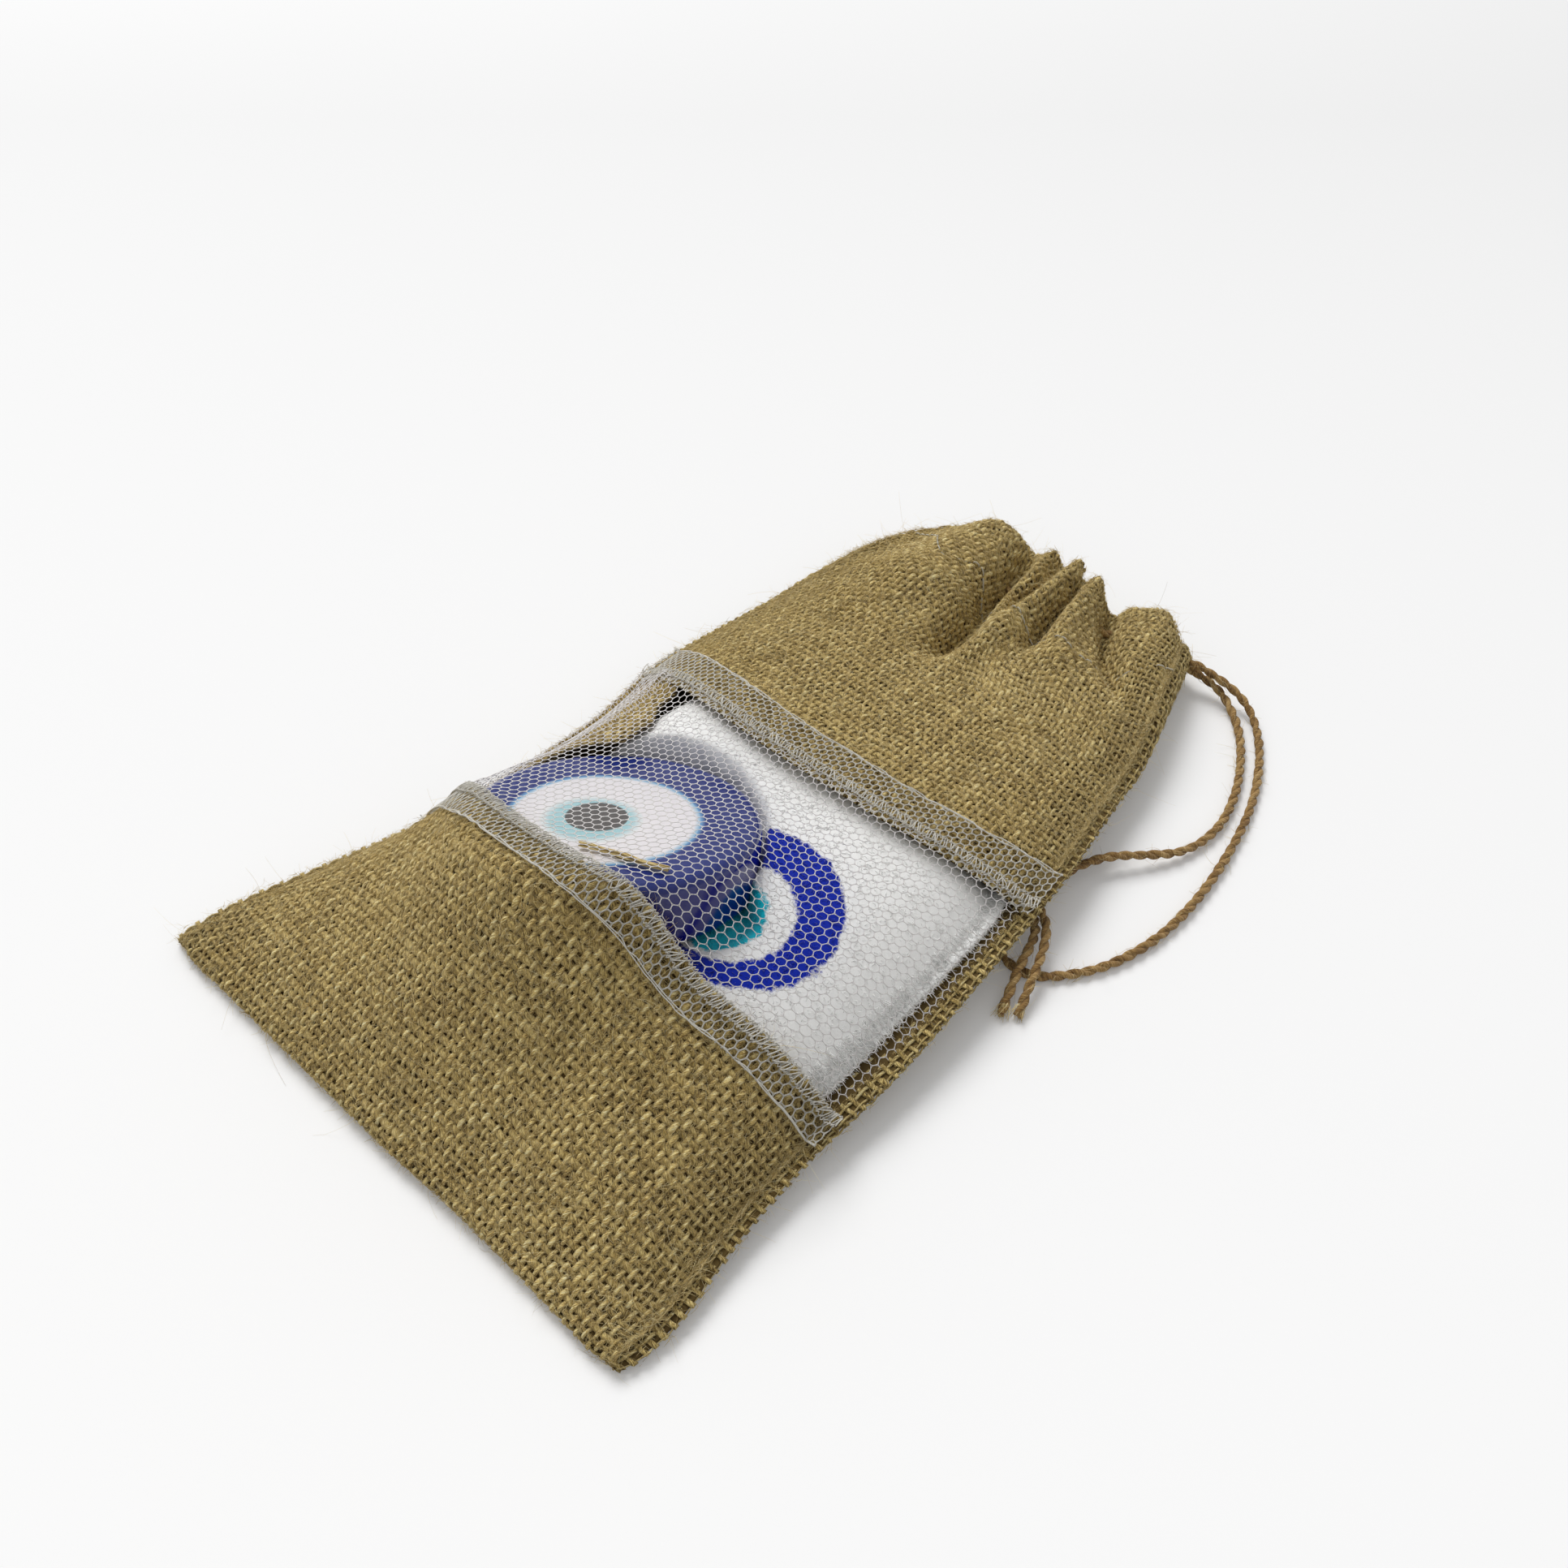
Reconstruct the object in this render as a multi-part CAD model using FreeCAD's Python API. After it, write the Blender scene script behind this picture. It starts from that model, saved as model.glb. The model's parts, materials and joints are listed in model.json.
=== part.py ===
"""Drawstring gift pouch of jute burlap, with a net window and its contents.

It is modelled flat on its back, in millimetres: X runs across the width, Y from the bottom
seam to the mouth and Z up. The origin is at the middle of the base.
"""
import FreeCAD, Part
import math
import os

from FreeCAD import Vector

os.makedirs("parts", exist_ok=True)

# Pouch
LENGTH = 226.0
BOTTOM = -LENGTH / 2
MOUTH = LENGTH / 2
BURLAP = 1.2
PRESSED = 0.05
NET = 0.5
SEAM_WIDTH = 4.0
SEAM_THICKNESS = 3.0
BOTTOM_SEAM_DEPTH = 3.0
SLIP = 0.05
BAND_SLIP = 0.3

# Where the front changes from burlap to net and back: (X, Y). The crown draws the joins' middles down.
CASING_START = 94.0
LOWER_JOIN = [(-66.0, -49.5), (-24.0, -58.0), (2.0, -59.0), (20.0, -56.0), (45.0, -54.0), (70.0, -51.5)]
UPPER_JOIN = [(-66.0, 14.5), (-10.0, 4.5), (26.0, 6.0), (45.0, 9.5), (70.0, 17.0)]
LOWER_BAND = (-8.5, 1.0)
UPPER_BAND = (-1.0, 13.5)
BAND_THICKNESS = 0.7
THREAD_WIDTH = 1.6
THREAD_THICKNESS = 0.6

# Plan outline: (Y, X) of the side edges. The gathers draw the mouth in.
RIGHT_EDGE = [(BOTTOM, 69.6), (-98.0, 70.7), (-80.0, 68.4), (-60.0, 67.6), (-35.0, 68.4), (-10.0, 67.4),
              (25.0, 64.8), (50.0, 60.6), (70.0, 56.9), (CASING_START, 49.5), (MOUTH, 43.5)]
LEFT_EDGE = [(BOTTOM, -71.0), (-100.0, -70.0), (-85.0, -66.6), (-64.0, -60.4), (-40.0, -55.6), (-10.0, -54.2),
             (18.0, -57.6), (48.0, -55.4), (70.0, -52.8), (CASING_START, -45.5), (MOUTH, -35.5)]

# Height of the underside at the side seams: (Y, Z). The twine passes under the right seam.
RIGHT_LIFT = [(BOTTOM, 0.0), (-90.0, 2.0), (-45.0, 5.5), (0.0, 8.5), (40.0, 8.5), (75.0, 6.0), (MOUTH, 2.0)]
LEFT_LIFT = [(BOTTOM, 0.0), (-90.0, 1.5), (-45.0, 3.5), (0.0, 4.0), (40.0, 4.0), (75.0, 3.0), (MOUTH, 2.0)]
LIFT_REACH = 30.0
CASING_RISE = 6.5
RISE_START = 55.0

# Height of the front along its middle: (Y, Z)
CROWN = [(BOTTOM, 2.6), (-98.0, 13.0), (-80.0, 22.0), (-60.0, 27.0), (-30.0, 27.5), (0.0, 25.0), (21.0, 19.5),
         (50.0, 16.5), (80.0, 15.5), (MOUTH, 14.5)]

# Gathers of the mouth: X of the ridge at the mouth, half width, height, and lean in X for each mm down from it
GATHERS = [(-22.5, 10.5, 5.0, -0.06), (-3.8, 4.4, 3.9, 0.19), (7.6, 3.9, 3.7, 0.33), (16.6, 3.9, 3.6, 0.55),
           (34.0, 7.0, 3.2, 0.24)]
GATHER_START = 45.0

# Glass disc: middle of its top face, the way that face looks, and its layers as shares of the radius
DISC_RADIUS = 31.0
DISC_THICKNESS = 15.0
DISC_RIM = 2.5
DISC_TOP = Vector(-8.4, -39.0, 29.3)
DISC_AXIS = Vector(-0.197, 0.308, 0.931).normalize()
WHITE_SHARE, LIGHT_BLUE_SHARE, PUPIL_SHARE = 0.641, 0.345, 0.213
WHITE_DEPTH, LIGHT_BLUE_DEPTH, PUPIL_DEPTH = 2.4, 1.6, 0.8

# Middles of the hand-poured layers, off the disc's own middle in its plane
WHITE_SHIFT, LIGHT_BLUE_SHIFT, PUPIL_SHIFT = Vector(0.1, -3.0, 0.0), Vector(-1.1, -5.6, 0.0), Vector(-1.3, -4.0, 0.0)
NET_OVER_DISC = 2.9
NET_REACH = DISC_RADIUS - 1.0
NET_FALL = 1.0

# Towel, folded to a block
TOWEL_LEFT, TOWEL_RIGHT = -35.0, 59.5
TOWEL_BOTTOM, TOWEL_TOP = -98.0, 14.0
TOWEL_HEIGHT = 22.0
TOWEL_EDGE = 8.0
TOWEL_LEAST = 2.5
TOWEL_CORNER = 8.0
TOWEL_CLEAR = 0.5

# Twine
TWINE = 2.2
ON_FLOOR = TWINE / 2 + 0.05
KNOT = Vector(59.5, 18.6, 3.3)
KNOT_RADIUS = 3.1
FRONT_EXIT = Vector(45.5, 109.0, 7.4)
BACK_EXIT = Vector(45.5, 109.4, 4.5)
EXIT_WAY = Vector(1.0, 0.1, -0.15)
OUTER_ROUTE = [FRONT_EXIT, FRONT_EXIT + EXIT_WAY * 7, Vector(60.4, 110.4, 3.2), Vector(67.5, 105.2, ON_FLOOR),
               Vector(74.0, 95.0, ON_FLOOR), Vector(79.5, 82.0, ON_FLOOR), Vector(83.0, 67.0, ON_FLOOR),
               Vector(85.3, 50.0, ON_FLOOR), Vector(85.0, 33.0, ON_FLOOR), Vector(81.2, 19.0, ON_FLOOR),
               Vector(75.2, 9.8, ON_FLOOR), Vector(69.6, 4.8, ON_FLOOR), Vector(62.4, 5.0, 1.3),
               Vector(57.8, 10.6, 2.2), Vector(58.2, 16.9, 3.0)]
INNER_ROUTE = [BACK_EXIT, BACK_EXIT + EXIT_WAY * 6, Vector(57.5, 107.8, 1.9), Vector(64.5, 101.6, ON_FLOOR),
               Vector(70.5, 92.0, ON_FLOOR), Vector(75.3, 81.0, ON_FLOOR), Vector(77.8, 69.0, ON_FLOOR),
               Vector(76.0, 57.5, 1.6), Vector(70.3, 49.5, 3.0), Vector(64.5, 42.5, 4.2),
               Vector(61.0, 34.6, 4.4), Vector(60.0, 27.0, 3.9), Vector(59.7, 21.0, 3.5)]
FIRST_TAIL = [Vector(61.9, 19.4, 4.4), Vector(65.4, 17.4, 4.8), Vector(68.6, 12.4, 4.7), Vector(70.9, 6.6, 4.5),
              Vector(72.5, 1.2, 3.2), Vector(74.4, -4.6, ON_FLOOR)]
SECOND_TAIL = [Vector(62.2, 17.6, 2.6), Vector(65.0, 14.4, 3.8), Vector(66.8, 9.4, 4.6), Vector(68.2, 3.6, 4.3),
               Vector(69.9, -1.8, 2.4), Vector(71.5, -6.8, ON_FLOOR)]
CASING_RUN = [FRONT_EXIT, FRONT_EXIT - EXIT_WAY * 10, Vector(16.0, 104.6, 12.4), Vector(-5.0, 103.0, 13.4),
              Vector(-25.0, 103.0, 12.4), Vector(-35.0, 103.0, 10.2), Vector(-35.0, 103.0, 5.4),
              Vector(-25.0, 103.2, 3.0), Vector(-5.0, 103.6, 2.8), Vector(16.0, 105.4, 2.8),
              BACK_EXIT - EXIT_WAY * 10, BACK_EXIT]
TUNNEL = TWINE + 0.6

# Mouth opening between the two casings
LOWER_LIP = 5.8
UPPER_LIP = 10.9

# Loose strand that lies on the glass
STRAND = 1.7


def smoothstep(share):
    """Ease from 0 to 1 as share goes from 0 to 1."""
    share = min(max(share, 0.0), 1.0)
    return share * share * (3.0 - 2.0 * share)


def along(table, y):
    """Value of a table of pairs at y, on a smooth curve through them."""
    y = min(max(y, table[0][0]), table[-1][0])
    index = max(i for i in range(len(table) - 1) if table[i][0] <= y)
    (y0, a), (y1, b) = table[index], table[index + 1]
    before = table[max(index - 1, 0)]
    after = table[min(index + 2, len(table) - 1)]
    span = y1 - y0
    slope_a = (b - before[1]) / (y1 - before[0]) * span
    slope_b = (after[1] - a) / (after[0] - y0) * span
    t = (y - y0) / span
    return (a * (2 * t**3 - 3 * t**2 + 1) + slope_a * (t**3 - 2 * t**2 + t)
            + b * (3 * t**2 - 2 * t**3) + slope_b * (t**3 - t**2))


def left(y):
    """X of the pouch's left edge."""
    return along(LEFT_EDGE, y)


def right(y):
    """X of the pouch's right edge."""
    return along(RIGHT_EDGE, y)


def underside(x, y):
    """Lower face of the back: flat on the table, and raised towards the side seams."""
    from_right = (LIFT_REACH - (right(y) - x)) / LIFT_REACH
    from_left = (LIFT_REACH - (x - left(y))) / LIFT_REACH
    return along(RIGHT_LIFT, y) * smoothstep(from_right) + along(LEFT_LIFT, y) * smoothstep(from_left)


def seam_top(x, y):
    """Upper face of a side seam, which thickens towards the casing."""
    rise = smoothstep((y - RISE_START) / (CASING_START - RISE_START))
    return underside(x, y) + SEAM_THICKNESS + CASING_RISE * rise


def disc_plane(x, y, drop=0.0):
    """Height, over (x, y), of the disc's top face lowered by drop along its axis."""
    centre = DISC_TOP - DISC_AXIS * drop
    return centre.z - (DISC_AXIS.x * (x - centre.x) + DISC_AXIS.y * (y - centre.y)) / DISC_AXIS.z


def soft_max(a, b, blend=5.0):
    """The greater of two heights, with a rounded change between them."""
    return 0.5 * (a + b + math.sqrt((a - b) ** 2 + blend**2))


def soft_min(a, b, blend=3.0):
    """The lesser of two heights, with a rounded change between them."""
    return -soft_max(-a, -b, blend)


def gather(x, y):
    """Height that the mouth's gathers add."""
    fade = smoothstep((y - GATHER_START) / (MOUTH - GATHER_START))
    down = MOUTH - y
    return fade * sum(high * math.exp(-(((x - at - lean * down) / (wide * (1 + 0.012 * down))) ** 2))
                      for at, wide, high, lean in GATHERS)


def over_disc(x, y):
    """Height of the net on the disc, from whose rim it falls away steeply."""
    away = Vector(x - DISC_TOP.x, y - DISC_TOP.y, 0.0)
    reach = away.Length - NET_REACH
    if reach > 0:
        away *= NET_REACH / away.Length
    rim = disc_plane(DISC_TOP.x + away.x, DISC_TOP.y + away.y, -NET_OVER_DISC)
    return rim - NET_FALL * soft_max(reach, 0.0, 4.0)


def front(x, y):
    """Upper face of the front: a crowned sheet that lies over the contents."""
    low, high = left(y) + SEAM_WIDTH, right(y) - SEAM_WIDTH
    share = min(max((x - low) / (high - low), 0.0), 1.0)
    across = 2 * share - 1
    edge = seam_top(low, y) * (1 - share) + seam_top(high, y) * share
    crown = 1 - 0.4 * across**2 - 0.6 * abs(across) ** 5
    sheet = edge + (along(CROWN, y) - edge) * crown + gather(x, y) * (1 - across**4)
    near_seam = smoothstep((1 - abs(across)) / 0.3) * smoothstep((y - BOTTOM) / 18.0)
    bump = soft_max(sheet, over_disc(x, y)) - soft_max(sheet, sheet - 40.0)
    return sheet + bump * near_seam


def always(value):
    """The function that gives the same value everywhere."""
    return lambda place: value


def place(sides, ends, across, lengthways):
    """Plan position at shares across and lengthways of the region between two sides and two ends."""
    x = y = 0.0
    for _ in range(6):
        y = ends[0](x) * (1 - lengthways) + ends[1](x) * lengthways
        x = sides[0](y) * (1 - across) + sides[1](y) * across
    return x, y


def surface(sides, ends, height, grid):
    """Smooth surface z = height(x, y) over a region, through a grid of (across, lengthways) steps."""
    rows = []
    for j in range(grid[1] + 1):
        plan = [place(sides, ends, i / grid[0], j / grid[1]) for i in range(grid[0] + 1)]
        rows.append([Vector(x, y, height(x, y)) for x, y in plan])
    sheet = Part.BSplineSurface()
    sheet.interpolate(rows)
    return sheet


def slab(sides, ends, top, bottom, grid):
    """Closed solid over a region, between the heights top(x, y) and bottom(x, y)."""
    upper = surface(sides, ends, top, grid)
    lower = surface(sides, ends, bottom, grid)
    u0, u1, v0, v1 = upper.bounds()
    faces = [upper.toShape(), lower.toShape()]
    for name, at in (("uIso", u0), ("uIso", u1), ("vIso", v0), ("vIso", v1)):
        pair = [getattr(sheet, name)(at).toShape() for sheet in (upper, lower)]
        faces.append(Part.makeRuledSurface(*pair))
    shell = Part.makeShell(faces)
    shell.sewShape(1e-4)
    solid = Part.makeSolid(shell)
    if solid.Volume < 0:
        solid.reverse()
    return solid


def below(height, thickness):
    """The height function that lies a thickness under another."""
    return lambda x, y: height(x, y) - thickness


def inner_left(y):
    """X where the left seam starts."""
    return left(y) + SEAM_WIDTH


def inner_right(y):
    """X where the right seam starts."""
    return right(y) - SEAM_WIDTH


def cloth(start, end, height, thickness, grid):
    """Sheet between the side seams, with its upper face at height(x, y)."""
    return slab((inner_left, inner_right), (start, end), height, below(height, thickness), grid)


def over_front(lift):
    """The front's upper face, raised by lift."""
    return lambda x, y: front(x, y) + lift


def over_back(lift):
    """The back's lower face, raised by lift."""
    return lambda x, y: underside(x, y) + lift


def lower_join(shift=0.0):
    """Y along the lower join, moved by shift."""
    return lambda x: along(LOWER_JOIN, x) + shift


def upper_join(shift=0.0):
    """Y along the upper join, moved by shift."""
    return lambda x: along(UPPER_JOIN, x) + shift


def back_panel():
    """Burlap back, from the bottom seam to the casing, pressed flat where it rests."""
    panel = cloth(always(BOTTOM + BOTTOM_SEAM_DEPTH), always(CASING_START), over_back(BURLAP),
                  BURLAP + PRESSED, (28, 28))
    return panel.cut(Part.makeBox(LENGTH, LENGTH, BURLAP, Vector(BOTTOM, BOTTOM, -BURLAP)))


def front_lower_panel():
    """Burlap front from the bottom seam to the net."""
    return cloth(always(BOTTOM + BOTTOM_SEAM_DEPTH), lower_join(), front, BURLAP, (40, 20))


def net_window():
    """Net across the middle of the front."""
    return cloth(lower_join(), upper_join(), front, NET, (40, 28))


def front_upper_panel():
    """Burlap front from the net to the casing."""
    return cloth(upper_join(), always(CASING_START), front, BURLAP, (40, 18))


def net_band(join, reach):
    """Net folded double over the burlap's edge, from reach[0] to reach[1] past a join."""
    return cloth(join(reach[0]), join(reach[1]), over_front(BAND_SLIP + BAND_THICKNESS), BAND_THICKNESS,
                 (40, 5))


def band_stitch(join):
    """Row of thread on a net band, over the join."""
    return cloth(join(-THREAD_WIDTH / 2), join(THREAD_WIDTH / 2),
                 over_front(BAND_SLIP + SLIP + BAND_THICKNESS + THREAD_THICKNESS), THREAD_THICKNESS, (40, 3))


def side_seam(sides):
    """Rolled seam along one side, below the casing."""
    return slab(sides, (always(BOTTOM + BOTTOM_SEAM_DEPTH), always(CASING_START)), seam_top, underside, (2, 28))


def bottom_seam():
    """Turned seam along the bottom edge, rounded at its outer side."""
    middle = 0.5 * SEAM_THICKNESS
    inner_edge = BOTTOM + BOTTOM_SEAM_DEPTH

    def half(y):
        return middle * math.sqrt(1 - ((inner_edge - y) / (BOTTOM_SEAM_DEPTH + 0.4)) ** 2)

    return slab((left, right), (always(BOTTOM), always(inner_edge)), lambda x, y: middle + half(y),
                lambda x, y: middle - half(y), (8, 6))


def lip_gap(x, y):
    """How far the mouth opens at x: nothing at its corners, most in the middle."""
    across = (2 * x - left(y) - right(y)) / (right(y) - left(y))
    return (UPPER_LIP - LOWER_LIP) * (1 - abs(across) ** 6)


def twine_tunnel():
    """Space that the twine takes up inside both casings."""
    return tube(CASING_RUN, TUNNEL, ends=6.0)


def hem(top, bottom, grid, tunnel):
    """One casing: a folded hem with the twine's tunnel through it."""
    return slab((left, right), (always(CASING_START), always(MOUTH)), top, bottom, grid).cut(tunnel)


def front_casing(tunnel):
    """Hem of the front, gathered on the twine."""
    return hem(front, lambda x, y: LOWER_LIP + lip_gap(x, y), (40, 6), tunnel)


def back_casing(tunnel):
    """Hem of the back, which lies on the table."""
    return hem(lambda x, y: LOWER_LIP - SLIP, lambda x, y: 0.0, (8, 4), tunnel)


def casing_stitch(height):
    """Row of thread that closes one casing, on the cloth at height(x, y)."""
    start = CASING_START - 2.2
    return cloth(always(start), always(start + THREAD_WIDTH), height, THREAD_THICKNESS, (40, 3))


def path(points, report=None):
    """Straight runs joined by tangent arcs, as large as the runs allow."""
    edges, start, radii = [], points[0], []
    for before, corner, after in zip(points, points[1:], points[2:]):
        run_in, run_out = corner - before, after - corner
        turn = run_in.getAngle(run_out)
        cut = 0.45 * min(run_in.Length, run_out.Length)
        into, out = run_in.normalize(), run_out.normalize()
        radius = cut / math.tan(turn / 2)
        radii.append(radius)
        arc_start, arc_end = corner - into * cut, corner + out * cut
        towards = (out - into).normalize()
        centre = corner + towards * (radius / math.cos(turn / 2))
        edges.append(Part.LineSegment(start, arc_start).toShape())
        edges.append(Part.Arc(arc_start, centre - towards * radius, arc_end).toShape())
        start = arc_end
    edges.append(Part.LineSegment(start, points[-1]).toShape())
    if report and radii:
        print(f"{report}: length {sum(e.Length for e in edges):.1f}, smallest radius {min(radii):.1f}")
    return Part.Wire(edges)


def tube(points, diameter, report=None, ends=0.0):
    """Round tube along a route. ends makes it run on past both of its ends."""
    points = [Vector(p) for p in points]
    if ends:
        points[0] += (points[0] - points[1]).normalize() * ends
        points[-1] += (points[-1] - points[-2]).normalize() * ends
    spine = path(points, report)
    circle = Part.Wire(Part.makeCircle(diameter / 2, points[0], points[1] - points[0]))
    solid = spine.makePipeShell([circle], True, False)
    if report:
        expected = math.pi * diameter**2 / 4 * spine.Length
        print(f"{report}: volume is {solid.Volume / expected:.4f} of section times length")
    return solid


def casing_twine():
    """The twine's run through both casings, round the far end of the mouth."""
    return tube(CASING_RUN, TWINE, "casing twine")


def knot(*strands):
    """Overhand knot, drawn tight on the four strands that enter it."""
    ball = Part.makeSphere(KNOT_RADIUS, KNOT)
    for strand in strands:
        ball = ball.cut(strand)
    return ball


def puck(share, thickness, shift=Vector(0.0, 0.0, 0.0)):
    """Round slab under the disc's top face: its share of the radius, and its middle's shift in that plane."""
    in_plane = shift - DISC_AXIS * shift.dot(DISC_AXIS)
    return Part.makeCylinder(DISC_RADIUS * share, thickness, DISC_TOP + in_plane - DISC_AXIS * thickness, DISC_AXIS)


def disc_layers():
    """Blue glass body and the three round layers fused into its top, each set in the one below."""
    blank = puck(1.0, DISC_THICKNESS)
    rims = [e for e in blank.Edges if isinstance(e.Curve, Part.Circle)]
    white = puck(WHITE_SHARE, WHITE_DEPTH, WHITE_SHIFT)
    light_blue = puck(LIGHT_BLUE_SHARE, LIGHT_BLUE_DEPTH, LIGHT_BLUE_SHIFT)
    pupil = puck(PUPIL_SHARE, PUPIL_DEPTH, PUPIL_SHIFT)
    return {"disc_body": blank.makeFillet(DISC_RIM, rims).cut(white), "disc_white_ring": white.cut(light_blue),
            "disc_light_blue_ring": light_blue.cut(pupil), "disc_pupil": pupil}


def towel_side(y):
    """How far the towel's rounded corners draw its sides in at y."""
    share = (2 * y - TOWEL_TOP - TOWEL_BOTTOM) / (TOWEL_TOP - TOWEL_BOTTOM)
    return TOWEL_CORNER * share**10


def towel_top(x, y):
    """Upper face of the folded towel: rounded at its sides and pressed down under the disc."""
    across = (2 * x - TOWEL_LEFT - TOWEL_RIGHT) / (TOWEL_RIGHT - TOWEL_LEFT - 2 * towel_side(y))
    lengthways = (2 * y - TOWEL_BOTTOM - TOWEL_TOP) / (TOWEL_TOP - TOWEL_BOTTOM)
    rounded = (1 - across**8) * (1 - lengthways**8)
    free = TOWEL_EDGE + (TOWEL_HEIGHT - TOWEL_EDGE) * rounded
    under_net = front(x, y) - BURLAP - TOWEL_CLEAR
    past_rim = math.hypot(x - DISC_TOP.x, y - DISC_TOP.y) - DISC_RADIUS
    under_disc = disc_plane(x, y, DISC_THICKNESS + TOWEL_CLEAR) + 0.9 * soft_max(past_rim - 4.0, 0.0, 4.0)
    least = underside(x, y) + BURLAP + TOWEL_CLEAR + TOWEL_LEAST
    return soft_max(soft_min(soft_min(free, under_net), under_disc), least, 1.0)


def folded_towel():
    """Plush towel, folded to a rounded block."""
    sides = (lambda y: TOWEL_LEFT + towel_side(y), lambda y: TOWEL_RIGHT - towel_side(y))
    return slab(sides, (always(TOWEL_BOTTOM), always(TOWEL_TOP)), towel_top, over_back(BURLAP + TOWEL_CLEAR),
                (28, 28))


def loose_strand():
    """Short end of jute that lies on the glass, under the net."""
    plan = [(-2.5, -53.0), (3.5, -50.6), (9.8, -49.4), (16.5, -46.6)]
    height = STRAND / 2 + 0.15
    return tube([Vector(x, y, disc_plane(x, y, -height)) for x, y in plan], STRAND, "loose strand")


def build():
    """Every node of the pouch, by name."""
    outer = tube(OUTER_ROUTE, TWINE, "outer strand")
    inner = tube(INNER_ROUTE, TWINE, "inner strand")
    first_tail = tube(FIRST_TAIL, TWINE, "first tail")
    second_tail = tube(SECOND_TAIL, TWINE, "second tail")
    tunnel = twine_tunnel()
    nodes = {
        "back_panel": back_panel(),
        "front_lower_panel": front_lower_panel(),
        "front_upper_panel": front_upper_panel(),
        "net_window": net_window(),
        "lower_net_band": net_band(lower_join, LOWER_BAND),
        "upper_net_band": net_band(upper_join, UPPER_BAND),
        "lower_band_stitch": band_stitch(lower_join),
        "upper_band_stitch": band_stitch(upper_join),
        "left_side_seam": side_seam((left, inner_left)),
        "right_side_seam": side_seam((inner_right, right)),
        "bottom_seam": bottom_seam(),
        "front_casing": front_casing(tunnel),
        "back_casing": back_casing(tunnel),
        "front_casing_stitch": casing_stitch(over_front(SLIP + THREAD_THICKNESS)),
        "back_casing_stitch": casing_stitch(over_back(BURLAP + SLIP + THREAD_THICKNESS)),
        "folded_towel": folded_towel(),
        "loose_strand": loose_strand(),
        "casing_twine": casing_twine(),
        "outer_strand": outer,
        "inner_strand": inner,
        "first_tail": first_tail,
        "second_tail": second_tail,
        "drawstring_knot": knot(outer, inner, first_tail, second_tail),
    }
    nodes.update(disc_layers())
    return nodes


for node, shape in build().items():
    if not shape.isValid() or shape.Volume <= 0:
        print(f"{node}: not a valid solid")
    shape.exportStep(f"parts/{node}.step")
    box = shape.BoundBox
    print(f"{node}: {len(shape.Solids)} solid, {shape.Volume:.0f} mm3, x {box.XMin:.1f} to {box.XMax:.1f}, "
          f"y {box.YMin:.1f} to {box.YMax:.1f}, z {box.ZMin:.1f} to {box.ZMax:.1f}")
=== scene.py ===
"""Looks of a drawstring gift pouch: woven jute, a net window, a twine drawstring and the gift inside.

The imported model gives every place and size. This script dresses it with cloth woven yarn by yarn, a hexagonal
net, stitching, a plush towel with a printed eye, a glass eye disc, and loose jute fibres.
"""

from __future__ import annotations

import json
import logging
import math
from dataclasses import dataclass, field
from enum import Enum
from typing import Callable, Sequence

import bpy
import numpy as np
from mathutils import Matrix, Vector

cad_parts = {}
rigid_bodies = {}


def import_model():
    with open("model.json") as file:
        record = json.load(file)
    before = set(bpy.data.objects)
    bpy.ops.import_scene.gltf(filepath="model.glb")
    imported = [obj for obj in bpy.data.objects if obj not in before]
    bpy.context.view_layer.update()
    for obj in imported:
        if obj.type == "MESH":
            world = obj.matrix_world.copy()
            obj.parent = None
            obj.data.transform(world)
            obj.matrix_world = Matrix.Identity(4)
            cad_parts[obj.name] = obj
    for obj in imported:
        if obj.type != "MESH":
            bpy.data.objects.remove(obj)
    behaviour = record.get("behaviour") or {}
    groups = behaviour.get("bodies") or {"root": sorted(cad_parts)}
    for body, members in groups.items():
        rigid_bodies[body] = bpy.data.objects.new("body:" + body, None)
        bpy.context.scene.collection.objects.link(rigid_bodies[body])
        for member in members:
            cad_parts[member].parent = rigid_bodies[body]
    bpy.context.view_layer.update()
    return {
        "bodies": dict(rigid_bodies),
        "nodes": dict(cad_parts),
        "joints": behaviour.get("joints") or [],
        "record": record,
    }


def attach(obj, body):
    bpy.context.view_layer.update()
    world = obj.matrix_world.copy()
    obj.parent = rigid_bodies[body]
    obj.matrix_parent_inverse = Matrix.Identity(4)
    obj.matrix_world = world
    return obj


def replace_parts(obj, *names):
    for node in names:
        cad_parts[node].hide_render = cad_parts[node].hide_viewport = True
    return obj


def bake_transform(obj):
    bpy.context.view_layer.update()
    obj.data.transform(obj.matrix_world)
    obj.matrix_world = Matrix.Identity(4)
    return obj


LOG = logging.getLogger("pouch")
MM = 0.001
FLOOR_CLEARANCE, TWINE_CLEARANCE = 0.08, 0.1
FINE_ROWS, FINE_COLUMNS, SETTLING_ROUNDS = 260, 700, 5
Array = np.ndarray
Pair = tuple[float, float]
Table = Sequence[Pair]
Point = tuple[float, float, float]
Colour = tuple[float, float, float]
Generator = np.random.Generator
Piece = bpy.types.Object
Material = bpy.types.Material
Tree = bpy.types.NodeTree
Node = bpy.types.Node
Socket = bpy.types.NodeSocket


class Body(Enum):
    """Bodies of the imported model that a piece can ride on."""

    POUCH = "root"
    DRAWSTRING = "drawstring"


class Slot(Enum):
    """Material slots of the record, handed to the new pieces' build but not used."""

    BURLAP = "burlap"
    NET = "net"
    THREAD = "thread"
    TWINE = "twine"
    TOWEL = "towel"


# ---------------------------------------------------------------- arithmetic


def smoothstep(share: Array) -> Array:
    """Ease from 0 to 1 as share goes from 0 to 1."""
    share = np.clip(share, 0.0, 1.0)
    return share * share * (3.0 - 2.0 * share)


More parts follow.
